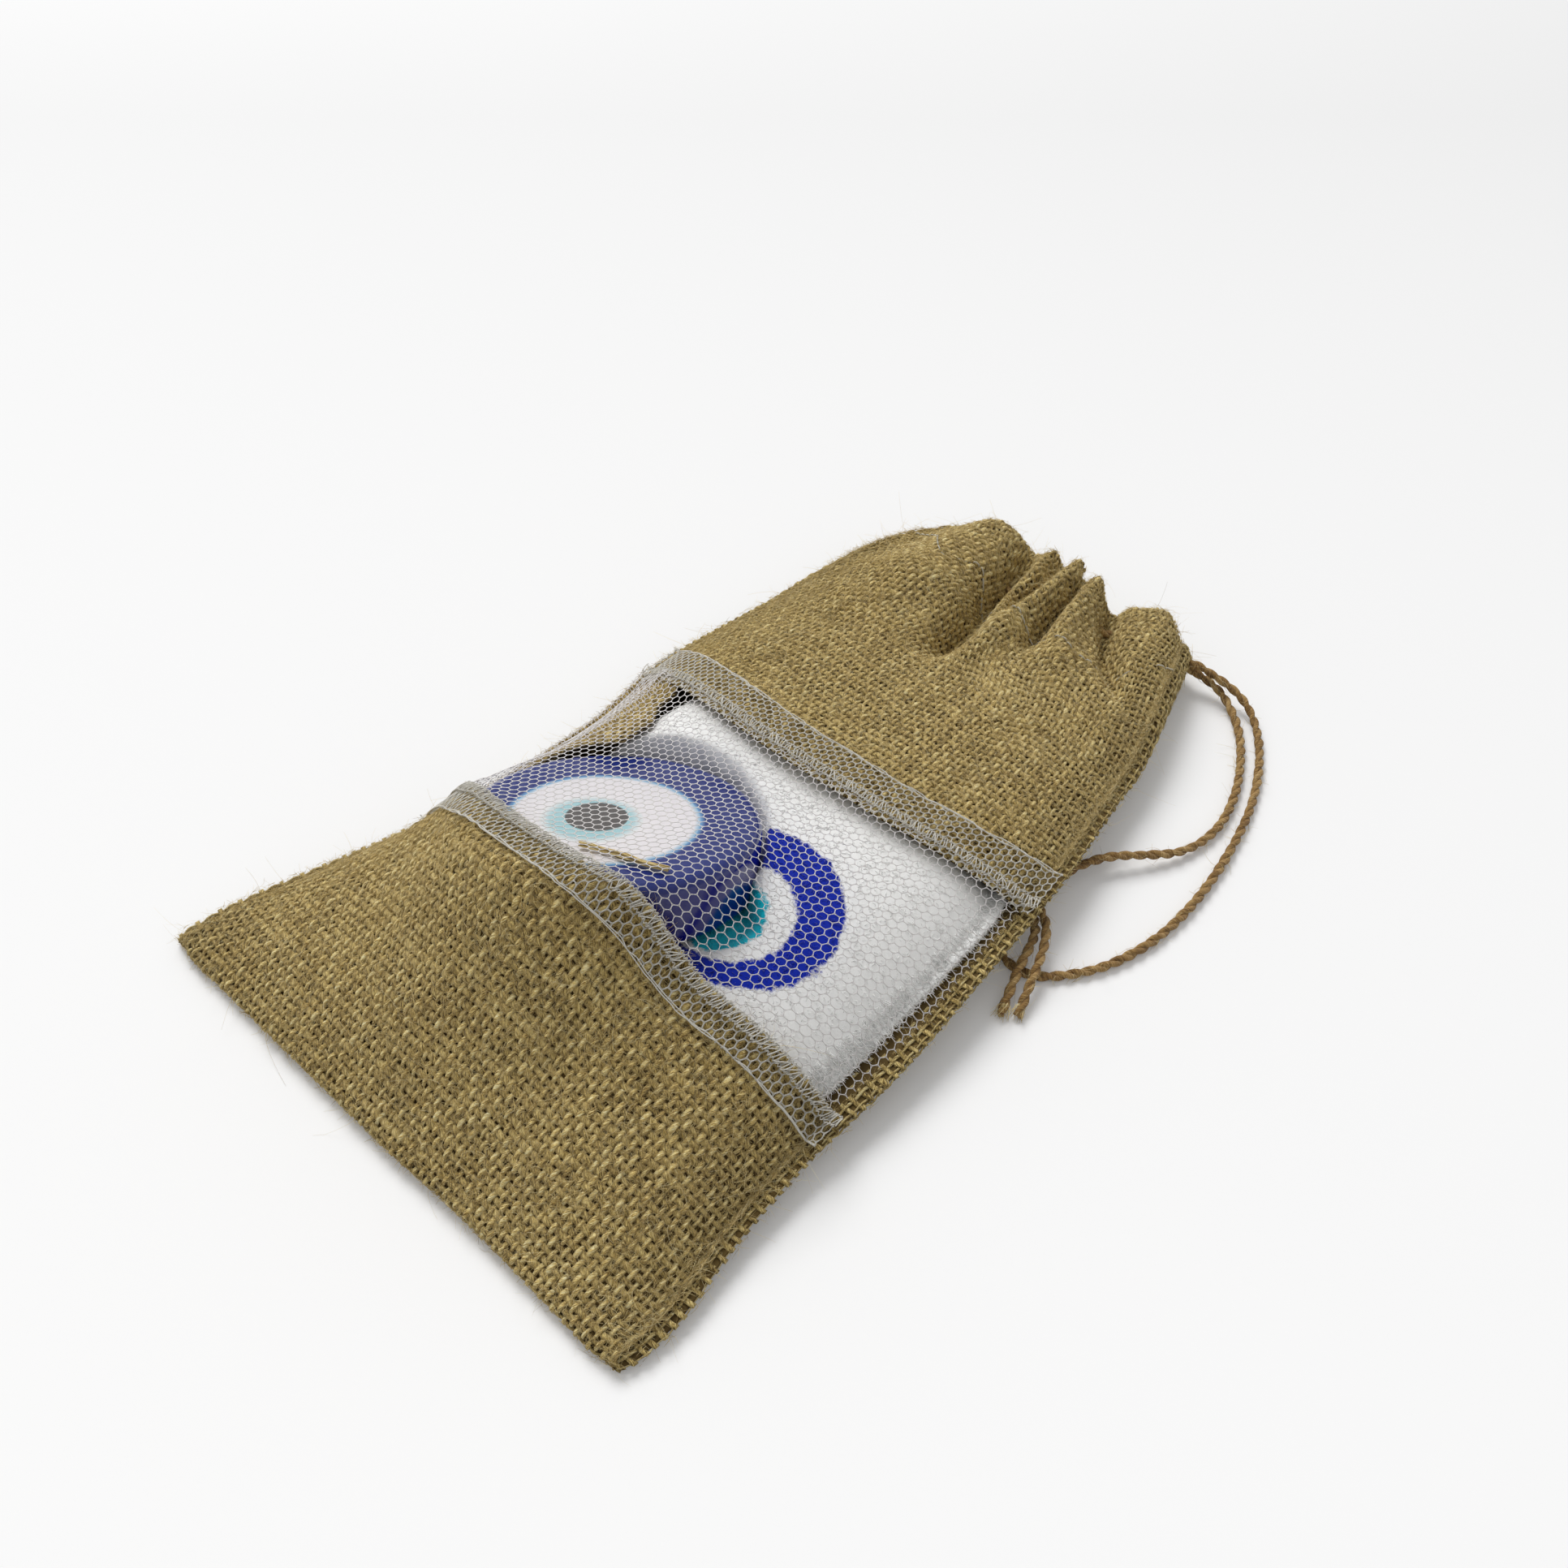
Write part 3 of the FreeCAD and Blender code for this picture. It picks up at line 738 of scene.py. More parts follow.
class Graph:
    """A small hand for wiring a material's or a group's nodes."""

    def __init__(self, tree: Tree) -> None:
        """Start on an empty tree."""
        self.tree = tree
        tree.nodes.clear()

    def add(self, kind: str, inputs: dict[str | int, object] | None = None, **settings: object) -> Node:
        """Add a node.

        Args:
            kind: Node type, without its ShaderNode part.
            inputs: Values or sockets for its inputs.
            settings: Its own settings.

        Returns:
            The node.
        """
        node = self.tree.nodes.new(kind if kind.startswith("Node") else "ShaderNode" + kind)
        for name, value in settings.items():
            setattr(node, name, value)
        for name, value in (inputs or {}).items():
            if isinstance(value, Socket):
                self.tree.links.new(value, node.inputs[name])
            else:
                coloured = isinstance(value, tuple) and node.inputs[name].type == "RGBA"
                node.inputs[name].default_value = (*value, 1.0) if coloured else value
        return node

    def math(self, operation: str, *values: object, clamp: bool = False) -> Socket:
        """Work out one number."""
        return self.add("Math", dict(enumerate(values)), operation=operation, use_clamp=clamp).outputs[0]

    def vector(self, operation: str, *values: object) -> Node:
        """Work with vectors."""
        return self.add("VectorMath", dict(enumerate(values)), operation=operation)

    def swing(self, value: Socket, size: Socket | float) -> Socket:
        """Turn a number from 0 to 1 into one that swings about nothing."""
        return self.math("MULTIPLY", self.math("SUBTRACT", value, 0.5), size)

    def ramp(self, factor: Socket, colours: Sequence[Colour]) -> Socket:
        """Turn a number from 0 to 1 into one of evenly spaced colours."""
        node = self.add("ValToRGB", {"Fac": factor})
        elements = node.color_ramp.elements
        while len(elements) < len(colours):
            elements.new(0.5)
        for index, (element, colour) in enumerate(zip(elements, colours)):
            element.position, element.color = index / (len(colours) - 1), (*colour, 1.0)
        return node.outputs["Color"]

    def span(self, value: Socket, low: float, high: float, **settings: object) -> Socket:
        """Stretch a number so that low becomes 0 and high becomes 1."""
        inputs = {"Value": value, "From Min": low, "From Max": high}
        return self.add("MapRange", inputs, **settings).outputs[0]

    def noise(self, place: Socket, scale: Socket | float, detail: float = 2.0, rough: float = 0.5) -> Socket:
        """Read a noise at a place."""
        inputs = {"Vector": place, "Scale": scale, "Detail": detail, "Roughness": rough}
        return self.add("TexNoise", inputs).outputs[0]

    def surface(self, **inputs: object) -> None:
        """End with a Principled surface. Underscores in the inputs' names stand for spaces."""
        bsdf = self.add("BsdfPrincipled", {name.replace("_", " "): value for name, value in inputs.items()})
        self.tree.links.new(bsdf.outputs[0], self.add("OutputMaterial").inputs[0])

    def mix(self, factor: object, a: object, b: object, blend: str = "MIX") -> Socket:
        """Mix two colours."""
        node = self.add("Mix", {}, data_type="RGBA", blend_type=blend)
        for index, value in ((0, factor), (6, a), (7, b)):
            if isinstance(value, Socket):
                self.tree.links.new(value, node.inputs[index])
            else:
                node.inputs[index].default_value = (*value, 1.0) if isinstance(value, tuple) else value
        return node.outputs[2]


def srgb(red: float, green: float, blue: float) -> Colour:
    """A colour given as it looks, from 0 to 255."""
    parts = (red / 255.0, green / 255.0, blue / 255.0)
    return tuple(c / 12.92 if c <= 0.04045 else ((c + 0.055) / 1.055) ** 2.4 for c in parts)


def new_material(name: str) -> tuple[Material, Graph]:
    """Start a material, and a hand to wire it with."""
    material = bpy.data.materials.new(name)
    material.use_nodes = True
    return material, Graph(material.node_tree)


def shared_group(name: str, inputs: dict[str, float], outputs: Sequence[str]) -> tuple[Tree, Graph]:
    """Start a shared effect.

    Args:
        name: Its name.
        inputs: Named numbers that go in, with their usual values.
        outputs: Named numbers that come out.

    Returns:
        The node group, and a hand to wire it with.
    """
    tree = bpy.data.node_groups.new(name, "ShaderNodeTree")
    graph = Graph(tree)
    for title, value in inputs.items():
        tree.interface.new_socket(title, in_out="INPUT", socket_type="NodeSocketFloat").default_value = value
    for title in outputs:
        tree.interface.new_socket(title, in_out="OUTPUT", socket_type="NodeSocketFloat")
    return tree, graph


class Effects:
    """Effects that several finishes share, each built once."""

    def __init__(self) -> None:
        """Build them all."""
        self.spun = self._spun()
        self.mottle = self._mottle()

    @staticmethod
    def _spun() -> Tree:
        """Fibres twisted round a strand: fine streaks, which are their height too, and broader flecks."""
        inputs = {"Twist": 1.2, "Fineness": 3.0, "Stretch": 0.35}
        tree, graph = shared_group("Spun fibres", inputs, ("Streak", "Fleck"))
        given = tree.nodes.new("NodeGroupInput").outputs
        fibre = graph.add("Attribute", attribute_name="fibre").outputs["Vector"]
        parts = graph.add("SeparateXYZ", {0: fibre})
        angle = graph.math("MULTIPLY", parts.outputs[2], given["Twist"])
        turned = graph.add("VectorRotate", {"Vector": fibre, "Angle": angle}, rotation_type="Z_AXIS")
        pieces = graph.add("SeparateXYZ", {0: turned.outputs[0]})
        stretched = graph.math("MULTIPLY", parts.outputs[2], given["Stretch"])
        place = graph.add("CombineXYZ", {0: pieces.outputs[0], 1: pieces.outputs[1], 2: stretched}).outputs[0]
        result = tree.nodes.new("NodeGroupOutput")
        streak = graph.span(graph.noise(place, given["Fineness"], 2.0, 0.6), 0.34, 0.66)
        tree.links.new(streak, result.inputs["Streak"])
        tree.links.new(graph.span(graph.noise(place, 1.1, 1.0), 0.3, 0.7), result.inputs["Fleck"])
        return tree

    @staticmethod
    def _mottle() -> Tree:
        """Slow change of shade over the surface, and the shade of each strand."""
        tree, graph = shared_group("Mottle", {"Scale": 60.0, "Patch": 0.25, "Strand": 0.2}, ("Shade",))
        given = tree.nodes.new("NodeGroupInput").outputs
        place = graph.add("TexCoord").outputs["Object"]
        patch = graph.swing(graph.noise(place, given["Scale"]), given["Patch"])
        own = graph.add("Attribute", attribute_name="tone").outputs["Fac"]
        tone = graph.math("MULTIPLY", own, given["Strand"])
        result = tree.nodes.new("NodeGroupOutput")
        tree.links.new(graph.math("ADD", patch, tone), result.inputs["Shade"])
        return tree


@dataclass(frozen=True)
class StrandFinish:
    """Finish of anything spun: jute, cotton or nylon thread.

    Attributes:
        name: Material's name.
        colours: Shades from the darkest to the brightest.
        twist: Turn of the fibres, in radians for each millimetre.
        fineness: How fine the fibres look.
        streak: How much they change the shade.
        strand: How much one strand differs from the next.
        patch: How much the shade changes over the surface.
        depth: Height of the fibres, in millimetres.
        roughness: Roughness.
        sheen: Soft glow at glancing angles.
    """

    name: str
    colours: tuple[Colour, ...]
    twist: float = 1.3
    fineness: float = 3.4
    streak: float = 0.5
    strand: float = 0.16
    patch: float = 0.25
    depth: float = 0.1
    roughness: float = 0.85
    sheen: float = 0.15

    def material(self, effects: Effects) -> Material:
        """Build the material.

        Args:
            effects: Shared effects.

        Returns:
            The material.
        """
        material, graph = new_material(self.name)
        fibres = {"Twist": self.twist, "Fineness": self.fineness}
        spun = graph.add("Group", fibres, node_tree=effects.spun).outputs
        mottle = graph.add("Group", {"Patch": self.patch, "Strand": self.strand}, node_tree=effects.mottle)
        streaks = graph.swing(spun["Streak"], self.streak)
        flecks = graph.swing(spun["Fleck"], self.streak * 0.5)
        shade = graph.math("ADD", graph.math("ADD", streaks, flecks), mottle.outputs[0])
        factor = graph.math("ADD", shade, 0.5, clamp=True)
        bump = graph.add("Bump", {"Height": spun["Streak"], "Distance": self.depth * MM, "Strength": 1.0})
        graph.surface(
            Base_Color=graph.ramp(factor, self.colours), Normal=bump.outputs[0], Roughness=self.roughness,
            Sheen_Weight=self.sheen, Specular_IOR_Level=0.25,
        )  # fmt: skip
        return material


@dataclass(frozen=True)
class PlushFinish:
    """Finish of the towel: white pile with a printed eye.

    Attributes:
        name: Material's name.
        rounds: Middle and radius of each round of the print, in millimetres, and its dye.
    """

    name: str = "plush towel"
    rounds: Sequence[tuple[float, float, float, Colour]] = (
        (24.1, -33.6, 20.4, srgb(14, 42, 172)), (23.8, -36.3, 12.6, srgb(250, 250, 248)),
        (21.8, -38.1, 9.4, srgb(0, 186, 206)),
    )  # fmt: skip

    def material(self, effects: Effects) -> Material:
        """Build the material.

        Args:
            effects: Shared effects.

        Returns:
            The material.
        """
        material, graph = new_material(self.name)
        place = graph.add("TexCoord").outputs["Object"]
        parts = graph.add("SeparateXYZ", {0: place}).outputs
        ragged = graph.noise(place, 420.0, 3.0, 0.7)
        colour = srgb(253, 253, 251)
        for *middle, radius, dye in self.rounds:
            places = [graph.math("MULTIPLY", parts[axis], 1.0 / MM) for axis in (0, 1)]
            away = [graph.math("SUBTRACT", *pair) for pair in zip(places, middle)]
            squares = [graph.math("POWER", far, 2.0) for far in away]
            distance = graph.math("SQRT", graph.math("ADD", *squares))
            edge = graph.math("ADD", distance, graph.swing(ragged, 4.0))
            colour = graph.mix(graph.span(edge, radius + 0.4, radius - 0.4), colour, dye)
        mottle = graph.add("Group", {"Scale": 300.0, "Patch": 0.10, "Strand": 0.04}, node_tree=effects.mottle)
        dark = graph.math("MULTIPLY", mottle.outputs[0], -1.0, clamp=True)
        bump = graph.add("Bump", {"Height": ragged, "Distance": 0.3 * MM, "Strength": 0.5})
        graph.surface(
            Base_Color=graph.mix(dark, colour, srgb(170, 170, 168), "MULTIPLY"), Normal=bump.outputs[0],
            Roughness=0.95, Sheen_Weight=0.25, Specular_IOR_Level=0.1,
        )  # fmt: skip
        return material


@dataclass(frozen=True)
class GlassFinish:
    """Finish of one layer of the fused-glass eye.

    Attributes:
        name: Material's name.
        middle: Colour towards the disc's centre.
        rim: Colour at the layer's outer edge.
        inner: Where the colour starts to change, as a share of the disc's radius.
        outer: Where it has changed.
        shift: Offset of the layer's centre from the disc's, in millimetres.
        side: Colour of its side wall.
    """

    name: str
    middle: Colour
    rim: Colour
    inner: float
    outer: float
    shift: Point
    side: Colour = srgb(12, 14, 116)

    def material(self) -> Material:
        """Build the material."""
        material, graph = new_material(self.name)
        place = graph.add("TexCoord").outputs["Object"]
        axis = tuple(float(c) for c in unit(np.array(SHAPE.disc_axis)))
        shift = Vector(self.shift)
        middle = Vector(SHAPE.disc_top) + shift - Vector(axis) * Vector(axis).dot(shift)
        offset = graph.vector("SUBTRACT", place, tuple(middle * MM)).outputs[0]
        height = graph.vector("DOT_PRODUCT", offset, axis).outputs["Value"]
        lifted = graph.add("VectorMath", {0: axis, 3: height}, operation="SCALE").outputs[0]
        flat = graph.vector("SUBTRACT", offset, lifted).outputs[0]
        radius = graph.math("MULTIPLY", graph.vector("LENGTH", flat).outputs["Value"], 1.0 / MM)
        wobble = graph.math("ADD", radius, graph.swing(graph.noise(place, 70.0), 1.2))
        inner, outer = SHAPE.disc_radius * self.inner, SHAPE.disc_radius * self.outer
        share = graph.span(wobble, inner, outer, interpolation_type="SMOOTHSTEP")
        depth = graph.span(graph.math("MULTIPLY", height, -1.0 / MM), 0.6, 3.4)
        colour = graph.mix(depth, graph.mix(share, self.middle, self.rim), self.side)
        graph.surface(Base_Color=colour, Roughness=0.16, IOR=1.5, Coat_Weight=0.2, Coat_Roughness=0.05)
        return material


class Finishes:
    """Every finish of the pouch and the gift."""

    def __init__(self) -> None:
        """Build them all."""
        effects = Effects()

        def spun(name: str, *shades: Colour, **looks: float) -> Material:
            """Build a strand's material from shades that run from dark to bright."""
            return StrandFinish(name, tuple(srgb(*shade) for shade in shades), **looks).material(effects)

        self.burlap = spun(
            "jute yarn", (118, 92, 42), (188, 158, 90), (233, 204, 129), (249, 228, 158), (255, 244, 194),
            streak=0.9, strand=0.2, depth=0.16,
        )  # fmt: skip
        self.cross_burlap = spun(
            "jute cross yarn", (95, 76, 34), (166, 140, 78), (215, 188, 117), (241, 218, 148),
            streak=0.9, strand=0.2, depth=0.16,
        )  # fmt: skip
        # Painted shade: the finish of the dark sheet under the yarns.
        self.shade = spun("jute in shade", (70, 54, 24), (120, 98, 52), depth=0.02)
        self.twine = spun(
            "jute twine", (70, 46, 20), (140, 104, 56), (186, 150, 92), (222, 192, 136),
            twist=2.2, fineness=3.2, streak=0.6,
        )  # fmt: skip
        self.fuzz = spun(
            "loose jute fibre", (110, 84, 40), (176, 148, 88), (220, 196, 132), (246, 230, 180),
            streak=0.1, strand=0.4, depth=0.01,
        )  # fmt: skip
        self.net = spun(
            "net thread", (222, 216, 214), (240, 236, 234), (252, 250, 248),
            streak=0.1, patch=0.1, depth=0.01, roughness=0.5, sheen=0.3,
        )  # fmt: skip
        self.thread = spun(
            "white thread", (206, 200, 186), (238, 234, 222), (253, 251, 244),
            twist=5.0, streak=0.4, patch=0.1, depth=0.06, roughness=0.6,
        )  # fmt: skip
        self.hem_thread = spun(
            "hem thread", (170, 164, 146), (208, 202, 184), (234, 230, 216),
            twist=5.0, streak=0.4, depth=0.05, roughness=0.6,
        )  # fmt: skip
        self.towel = PlushFinish().material(effects)
        outer, light, dark = (0.1, -3.0, 0.0), (-1.1, -5.6, 0.0), (-1.3, -4.0, 0.0)
        layers = (
            ("blue glass", srgb(110, 160, 205), srgb(36, 50, 122), 0.64, 0.68, outer),
            ("white glass", srgb(236, 232, 234), srgb(150, 190, 215), 0.60, 0.645, outer),
            ("light blue glass", srgb(168, 208, 214), srgb(232, 232, 232), 0.25, 0.345, light),
            ("dark glass", srgb(92, 88, 86), srgb(140, 170, 175), 0.198, 0.214, dark),
        )
        glass = [GlassFinish(*layer).material() for layer in layers]
        self.blue_glass, self.white_glass, self.light_blue_glass, self.dark_glass = glass
        self.floor = self._floor()

    @staticmethod
    def _floor() -> Material:
        """Pale floor, a little brighter to the eye than to the object. Painted light: as seen, it is darker
        towards the far side, where the lamp is nearer, to even out the lamp's fall-off, and it glows a little.
        """
        material, graph = new_material("pale floor")
        path = graph.add("LightPath").outputs
        seen = graph.math("MAXIMUM", path["Is Camera Ray"], path["Is Glossy Ray"])
        seen = graph.math("MAXIMUM", seen, path["Is Transmission Ray"])
        place = graph.add("SeparateXYZ", {0: graph.add("TexCoord").outputs["Object"]}).outputs
        away = graph.math(
            "SUBTRACT", graph.math("MULTIPLY", place[1], 0.73), graph.math("MULTIPLY", place[0], 0.683)
        )
        # Painted light: the seen grey is darker away from the camera, towards the lamp, which evens out the
        # lamp's fall-off.
        limits = {"From Min": -0.15, "From Max": 0.42, "To Min": 0.925, "To Max": 0.735}
        pale = graph.add("MapRange", {"Value": away, **limits}).outputs[0]
        grey = graph.add("CombineColor", {0: pale, 1: pale, 2: pale}).outputs[0]
        # Painted light: the floor glows a little for the eye, which lifts its shadows.
        graph.surface(
            Base_Color=graph.mix(seen, (0.75, 0.75, 0.75), grey), Roughness=0.9, Specular_IOR_Level=0.1,
            Emission_Color=(1.0, 1.0, 1.0), Emission_Strength=graph.math("MULTIPLY", seen, 0.075),
        )  # fmt: skip
        return material


# ---------------------------------------------------------------- sub-assemblies


@dataclass
class Studio:
    """Camera, soft light from the upper left, and a pale floor. Sizes in metres."""

    camera_place: Point = (0.14964, -0.15641, 0.24393)
    camera_turn: Pair = (43.29, 43.07)
    lens: float = 31.76
    lamp_place: Point = (-1.74, 0.95, 2.24)
    lamp_size: float = 1.54
    lamp_power: float = 65.5
    sky: float = 0.48
    floor_half: float = 2.0
    floor_height: float = -2e-5

    def build(self, finishes: Finishes) -> None:
        """Make the stage.

        Args:
            finishes: Every finish.
        """
        camera = linked("camera", bpy.data.cameras.new("camera"))
        camera.data.lens, camera.data.sensor_width = self.lens, 36.0
        camera.data.clip_start = 0.01
        camera.location = self.camera_place
        camera.rotation_euler = (math.radians(self.camera_turn[0]), 0.0, math.radians(self.camera_turn[1]))
        bpy.context.scene.camera = camera
        bpy.context.scene.view_settings.view_transform = "Standard"
        lamp = bpy.data.lights.new("soft lamp", "AREA")
        lamp.size, lamp.energy = self.lamp_size, self.lamp_power
        holder = linked("soft lamp", lamp)
        holder.location = self.lamp_place
        holder.rotation_euler = (-Vector(self.lamp_place)).to_track_quat("-Z", "Y").to_euler()
        world = bpy.data.worlds.new("soft sky")
        world.use_nodes = True
        graph = Graph(world.node_tree)
        path = graph.add("LightPath").outputs["Is Camera Ray"]
        light = graph.add("Background", {"Color": (1.0, 1.0, 1.0), "Strength": self.sky})
        seen = graph.add("Background", {"Color": (0.96, 0.96, 0.96), "Strength": 1.0})
        mixed = graph.add("MixShader", {0: path, 1: light.outputs[0], 2: seen.outputs[0]})
        graph.tree.links.new(mixed.outputs[0], graph.add("OutputWorld").inputs[0])
        bpy.context.scene.world = world
        floor = bpy.data.meshes.new("floor")
        half, below = self.floor_half, self.floor_height
        corners = [(x, y, below) for x, y in ((-half, -half), (half, -half), (half, half), (-half, half))]
        floor.from_pydata(corners, [], [range(4)])
        floor.materials.append(finishes.floor)
        slab = linked("floor", floor)
        LOG.info("stage: camera, lamp, sky and floor")


def spine_of(route: Sequence[Point], step: float = 0.45) -> tuple[Array, list[Point]]:
    """Read the smooth line that a cord follows.

    Args:
        route: Control points, in metres.
        step: Distance between points wanted, in millimetres.

    Returns:
        The line in millimetres, evenly spaced, and the points read, in metres.
    """
    curve = bpy.data.curves.new("route", "CURVE")
    curve.dimensions, curve.resolution_u = "3D", 24
    spline = curve.splines.new("NURBS")
    spline.points.add(len(route) - 1)
    for point, place in zip(spline.points, route):
        point.co = (*place, 1.0)
    spline.order_u = 3
    spline.use_endpoint_u = True
    holder = linked("route", curve)
    bpy.context.view_layer.update()
    mesh = bpy.data.meshes.new_from_object(holder.evaluated_get(bpy.context.evaluated_depsgraph_get()))
    read = [tuple(vertex.co) for vertex in mesh.vertices]
    bpy.data.objects.remove(holder)
    bpy.data.curves.remove(curve)
    bpy.data.meshes.remove(mesh)
    line = np.array(read)[None] / MM
    return even_rows(line, max(int(run_length(line)[0, -1] / step), 8))[0], read


def carried_frame(line: Array) -> tuple[Array, Array]:
    """Two directions square to a line, carried along it without twist."""
    ahead = unit(np.gradient(line, axis=0))
    first = unit(np.cross(ahead[0], (0.3, 0.2, 1.0)))
    sides = [first]
    for direction in ahead[1:]:
        sides.append(unit(sides[-1] - direction * np.dot(sides[-1], direction)))
    sides = np.array(sides)
    return sides, np.cross(ahead, sides)


@dataclass(frozen=True)
class Length:
    """One length of twine: its plies, its loose fibres and the points read from its spline."""

    plies: Piece
    fibres: Piece
    read: list[Point]


@dataclass
class Drawstring:
    """Jute twine: free strands, the knot, two frayed tails and the run through the hems. Routes in metres.

    Attributes:
        lay: Length of a full turn of the plies, in millimetres.
        ply_offset: Distance of a ply from the middle, as a share of the twine's radius.
        ply_radius: Its radius, as the same share.
        frayed_fibres: Fibres at each open end.
    """

    diameter: float = 0.0022
    lay: float = 7.0
    ply_offset: float = 0.43
    ply_radius: float = 0.60
    frayed_fibres: int = 46
    front_exit: Point = (0.0455, 0.1090, 0.0074)
    back_exit: Point = (0.0455, 0.1094, 0.0045)
    outer_route: Sequence[Point] = (
        (0.0455, 0.1090, 0.0074), (0.0524, 0.1097, 0.0064), (0.0604, 0.1104, 0.0032),
        (0.0675, 0.1052, 0.00115), (0.0740, 0.0950, 0.00115), (0.0795, 0.0820, 0.00115),
        (0.0830, 0.0670, 0.00115), (0.0853, 0.0500, 0.00115), (0.0850, 0.0330, 0.00115),
        (0.0812, 0.0190, 0.00115), (0.0752, 0.0098, 0.00115), (0.0696, 0.0048, 0.00115),
        (0.0624, 0.0050, 0.0013), (0.0578, 0.0106, 0.0022), (0.0582, 0.0169, 0.0030),
    )  # fmt: skip
    inner_route: Sequence[Point] = (
        (0.0455, 0.1094, 0.0045), (0.0514, 0.1100, 0.0036), (0.0575, 0.1078, 0.0019),
        (0.0645, 0.1016, 0.00115), (0.0705, 0.0920, 0.00115), (0.0753, 0.0810, 0.00115),
        (0.0778, 0.0690, 0.00115), (0.0760, 0.0575, 0.0016), (0.0703, 0.0495, 0.0030),
        (0.0645, 0.0425, 0.0042), (0.0610, 0.0346, 0.0044), (0.0600, 0.0270, 0.0039),
        (0.0597, 0.0210, 0.0035),
    )  # fmt: skip
    first_tail: Sequence[Point] = (
        (0.0619, 0.0194, 0.0044), (0.0654, 0.0174, 0.0048), (0.0686, 0.0124, 0.0047),
        (0.0709, 0.0066, 0.0045), (0.0725, 0.0012, 0.0032), (0.0744, -0.0046, 0.00115),
    )  # fmt: skip
    second_tail: Sequence[Point] = (
        (0.0622, 0.0176, 0.0026), (0.0650, 0.0144, 0.0038), (0.0668, 0.0094, 0.0046),
        (0.0682, 0.0036, 0.0043), (0.0699, -0.0018, 0.0024), (0.0715, -0.0068, 0.00115),
    )  # fmt: skip
    hem_route: Sequence[Point] = (
        (0.0455, 0.1090, 0.0074), (0.0355, 0.1070, 0.0068), (0.0160, 0.1040, 0.0058),
        (-0.0050, 0.1020, 0.0058), (-0.0250, 0.1010, 0.0060), (-0.0330, 0.1000, 0.0058),
        (-0.0330, 0.1000, 0.0044), (-0.0250, 0.1012, 0.0030), (-0.0050, 0.1036, 0.0028),
        (0.0160, 0.1054, 0.0028), (0.0355, 0.1084, 0.0060), (0.0455, 0.1094, 0.0045),
    )  # fmt: skip
    knot_place: Point = (0.0595, 0.0186, 0.0033)

    def _twine(
        self, name: str, route: Sequence[Point], finishes: Finishes, seed: int, frayed: bool = False
    ) -> Length:  # fmt: skip
        """Lay two plies round each other along a route.

        Args:
            name: Piece's name.
            route: Control points, in metres.
            finishes: Every finish.
            seed: Seed of its unevenness.
            frayed: Whether its far end opens into fibres.

        Returns:
            The length of twine.
        """
        rng = np.random.default_rng(seed)
        line, read = spine_of(route)
        side, up = carried_frame(line)
        travel = run_length(line[None])[0]
        soup = Soup()
        radius = self.diameter / MM / 2
        fat = 1.0 + 0.06 * slow_noise(rng, (1, len(line)), len(line) // 8)[0]
        plies, outward = [], []
        for start in (0.0, math.pi):
            angle = travel / self.lay * 2 * math.pi + start
            away = side * np.cos(angle)[:, None] + up * np.sin(angle)[:, None]
            plies.append(line + away * (radius * self.ply_offset * fat)[:, None])
            outward.append(away)
        size = radius * self.ply_radius * fat
        tone = 0.8 * slow_noise(rng, (2, len(line)), len(line) // 6) + rng.normal(0, 0.3, (2, 1))
        soup.strands(np.array(plies), size, size * 0.94, np.array(outward), 10, tone, band=(0.0, 0.5))
        piece = soup.build(name, finishes.twine, Body.DRAWSTRING, Slot.TWINE)
        loose = Soup()
        count = int(travel[-1] * 1.3) + 12
        at = rng.integers(1, len(line) - 2, count)
        angle = rng.uniform(0, 2 * math.pi, count)
        away = side[at] * np.cos(angle)[:, None] + up[at] * np.sin(angle)[:, None]
        forward = np.gradient(line, axis=0)[at]
        ahead = unit(unit(forward) * rng.choice([-1, 1], (count, 1)) + np.cross(away, unit(forward)) * 0.6)
        roots = line[at] + away * radius * 0.8
        loose.stray(
            rng, roots, away, ahead, (0.8, 3.4), 0.045, (0.1, 0.7), band=(0.0, 0.6), floor=TWINE_CLEARANCE
        )  # fmt: skip
        if frayed:
            count = self.frayed_fibres
            spread = rng.normal(0, 0.55, (count, 2))
            root = line[-6] + side[-6] * spread[:, :1] + up[-6] * spread[:, 1:]
            apart = side[-1] * rng.normal(0, 0.3, (count, 1)) + up[-1] * rng.normal(0, 0.2, (count, 1))
            ahead = unit(unit(line[-1] - line[-8])[None] + apart)
            above = np.repeat(up[-1:], count, axis=0)
            loose.stray(
                rng, root, above, ahead, (1.6, 3.6), 0.09, (-0.1, 0.15), 0.15, 6,
                band=(0.6, 1.0), floor=TWINE_CLEARANCE,
            )  # fmt: skip
        fibres = loose.build(name + "_fibres", finishes.fuzz, Body.DRAWSTRING, Slot.TWINE)
        return Length(piece, fibres, read)

    def _knot(self, finishes: Finishes) -> Length:
        """Wrap an overhand knot round the four strands."""
        centre = Vector(self.knot_place)
        turns = (
            (-2.0, 1.6, 0.2), (-1.5, 2.0, 1.6), (0.2, 1.7, 2.3), (1.7, 0.8, 1.6), (2.0, -0.4, 0.0),
            (1.2, -1.2, -1.5), (-0.6, -1.3, -1.6), (-2.0, -0.7, -0.6), (-1.9, 0.1, 1.1), (-0.5, 0.5, 2.2),
            (1.2, -0.2, 2.0), (2.1, -1.4, 0.6), (1.6, -2.0, -0.9), (0.0, -2.0, -1.6), (-1.6, -1.8, -0.8),
            (-1.7, -1.6, 0.9), (-0.4, -1.7, 1.9), (1.0, -2.1, 1.2),
        )  # fmt: skip
        route = [tuple(centre + Vector(turn) * MM) for turn in turns]
        return self._twine("twine_knot", route, finishes, 41)

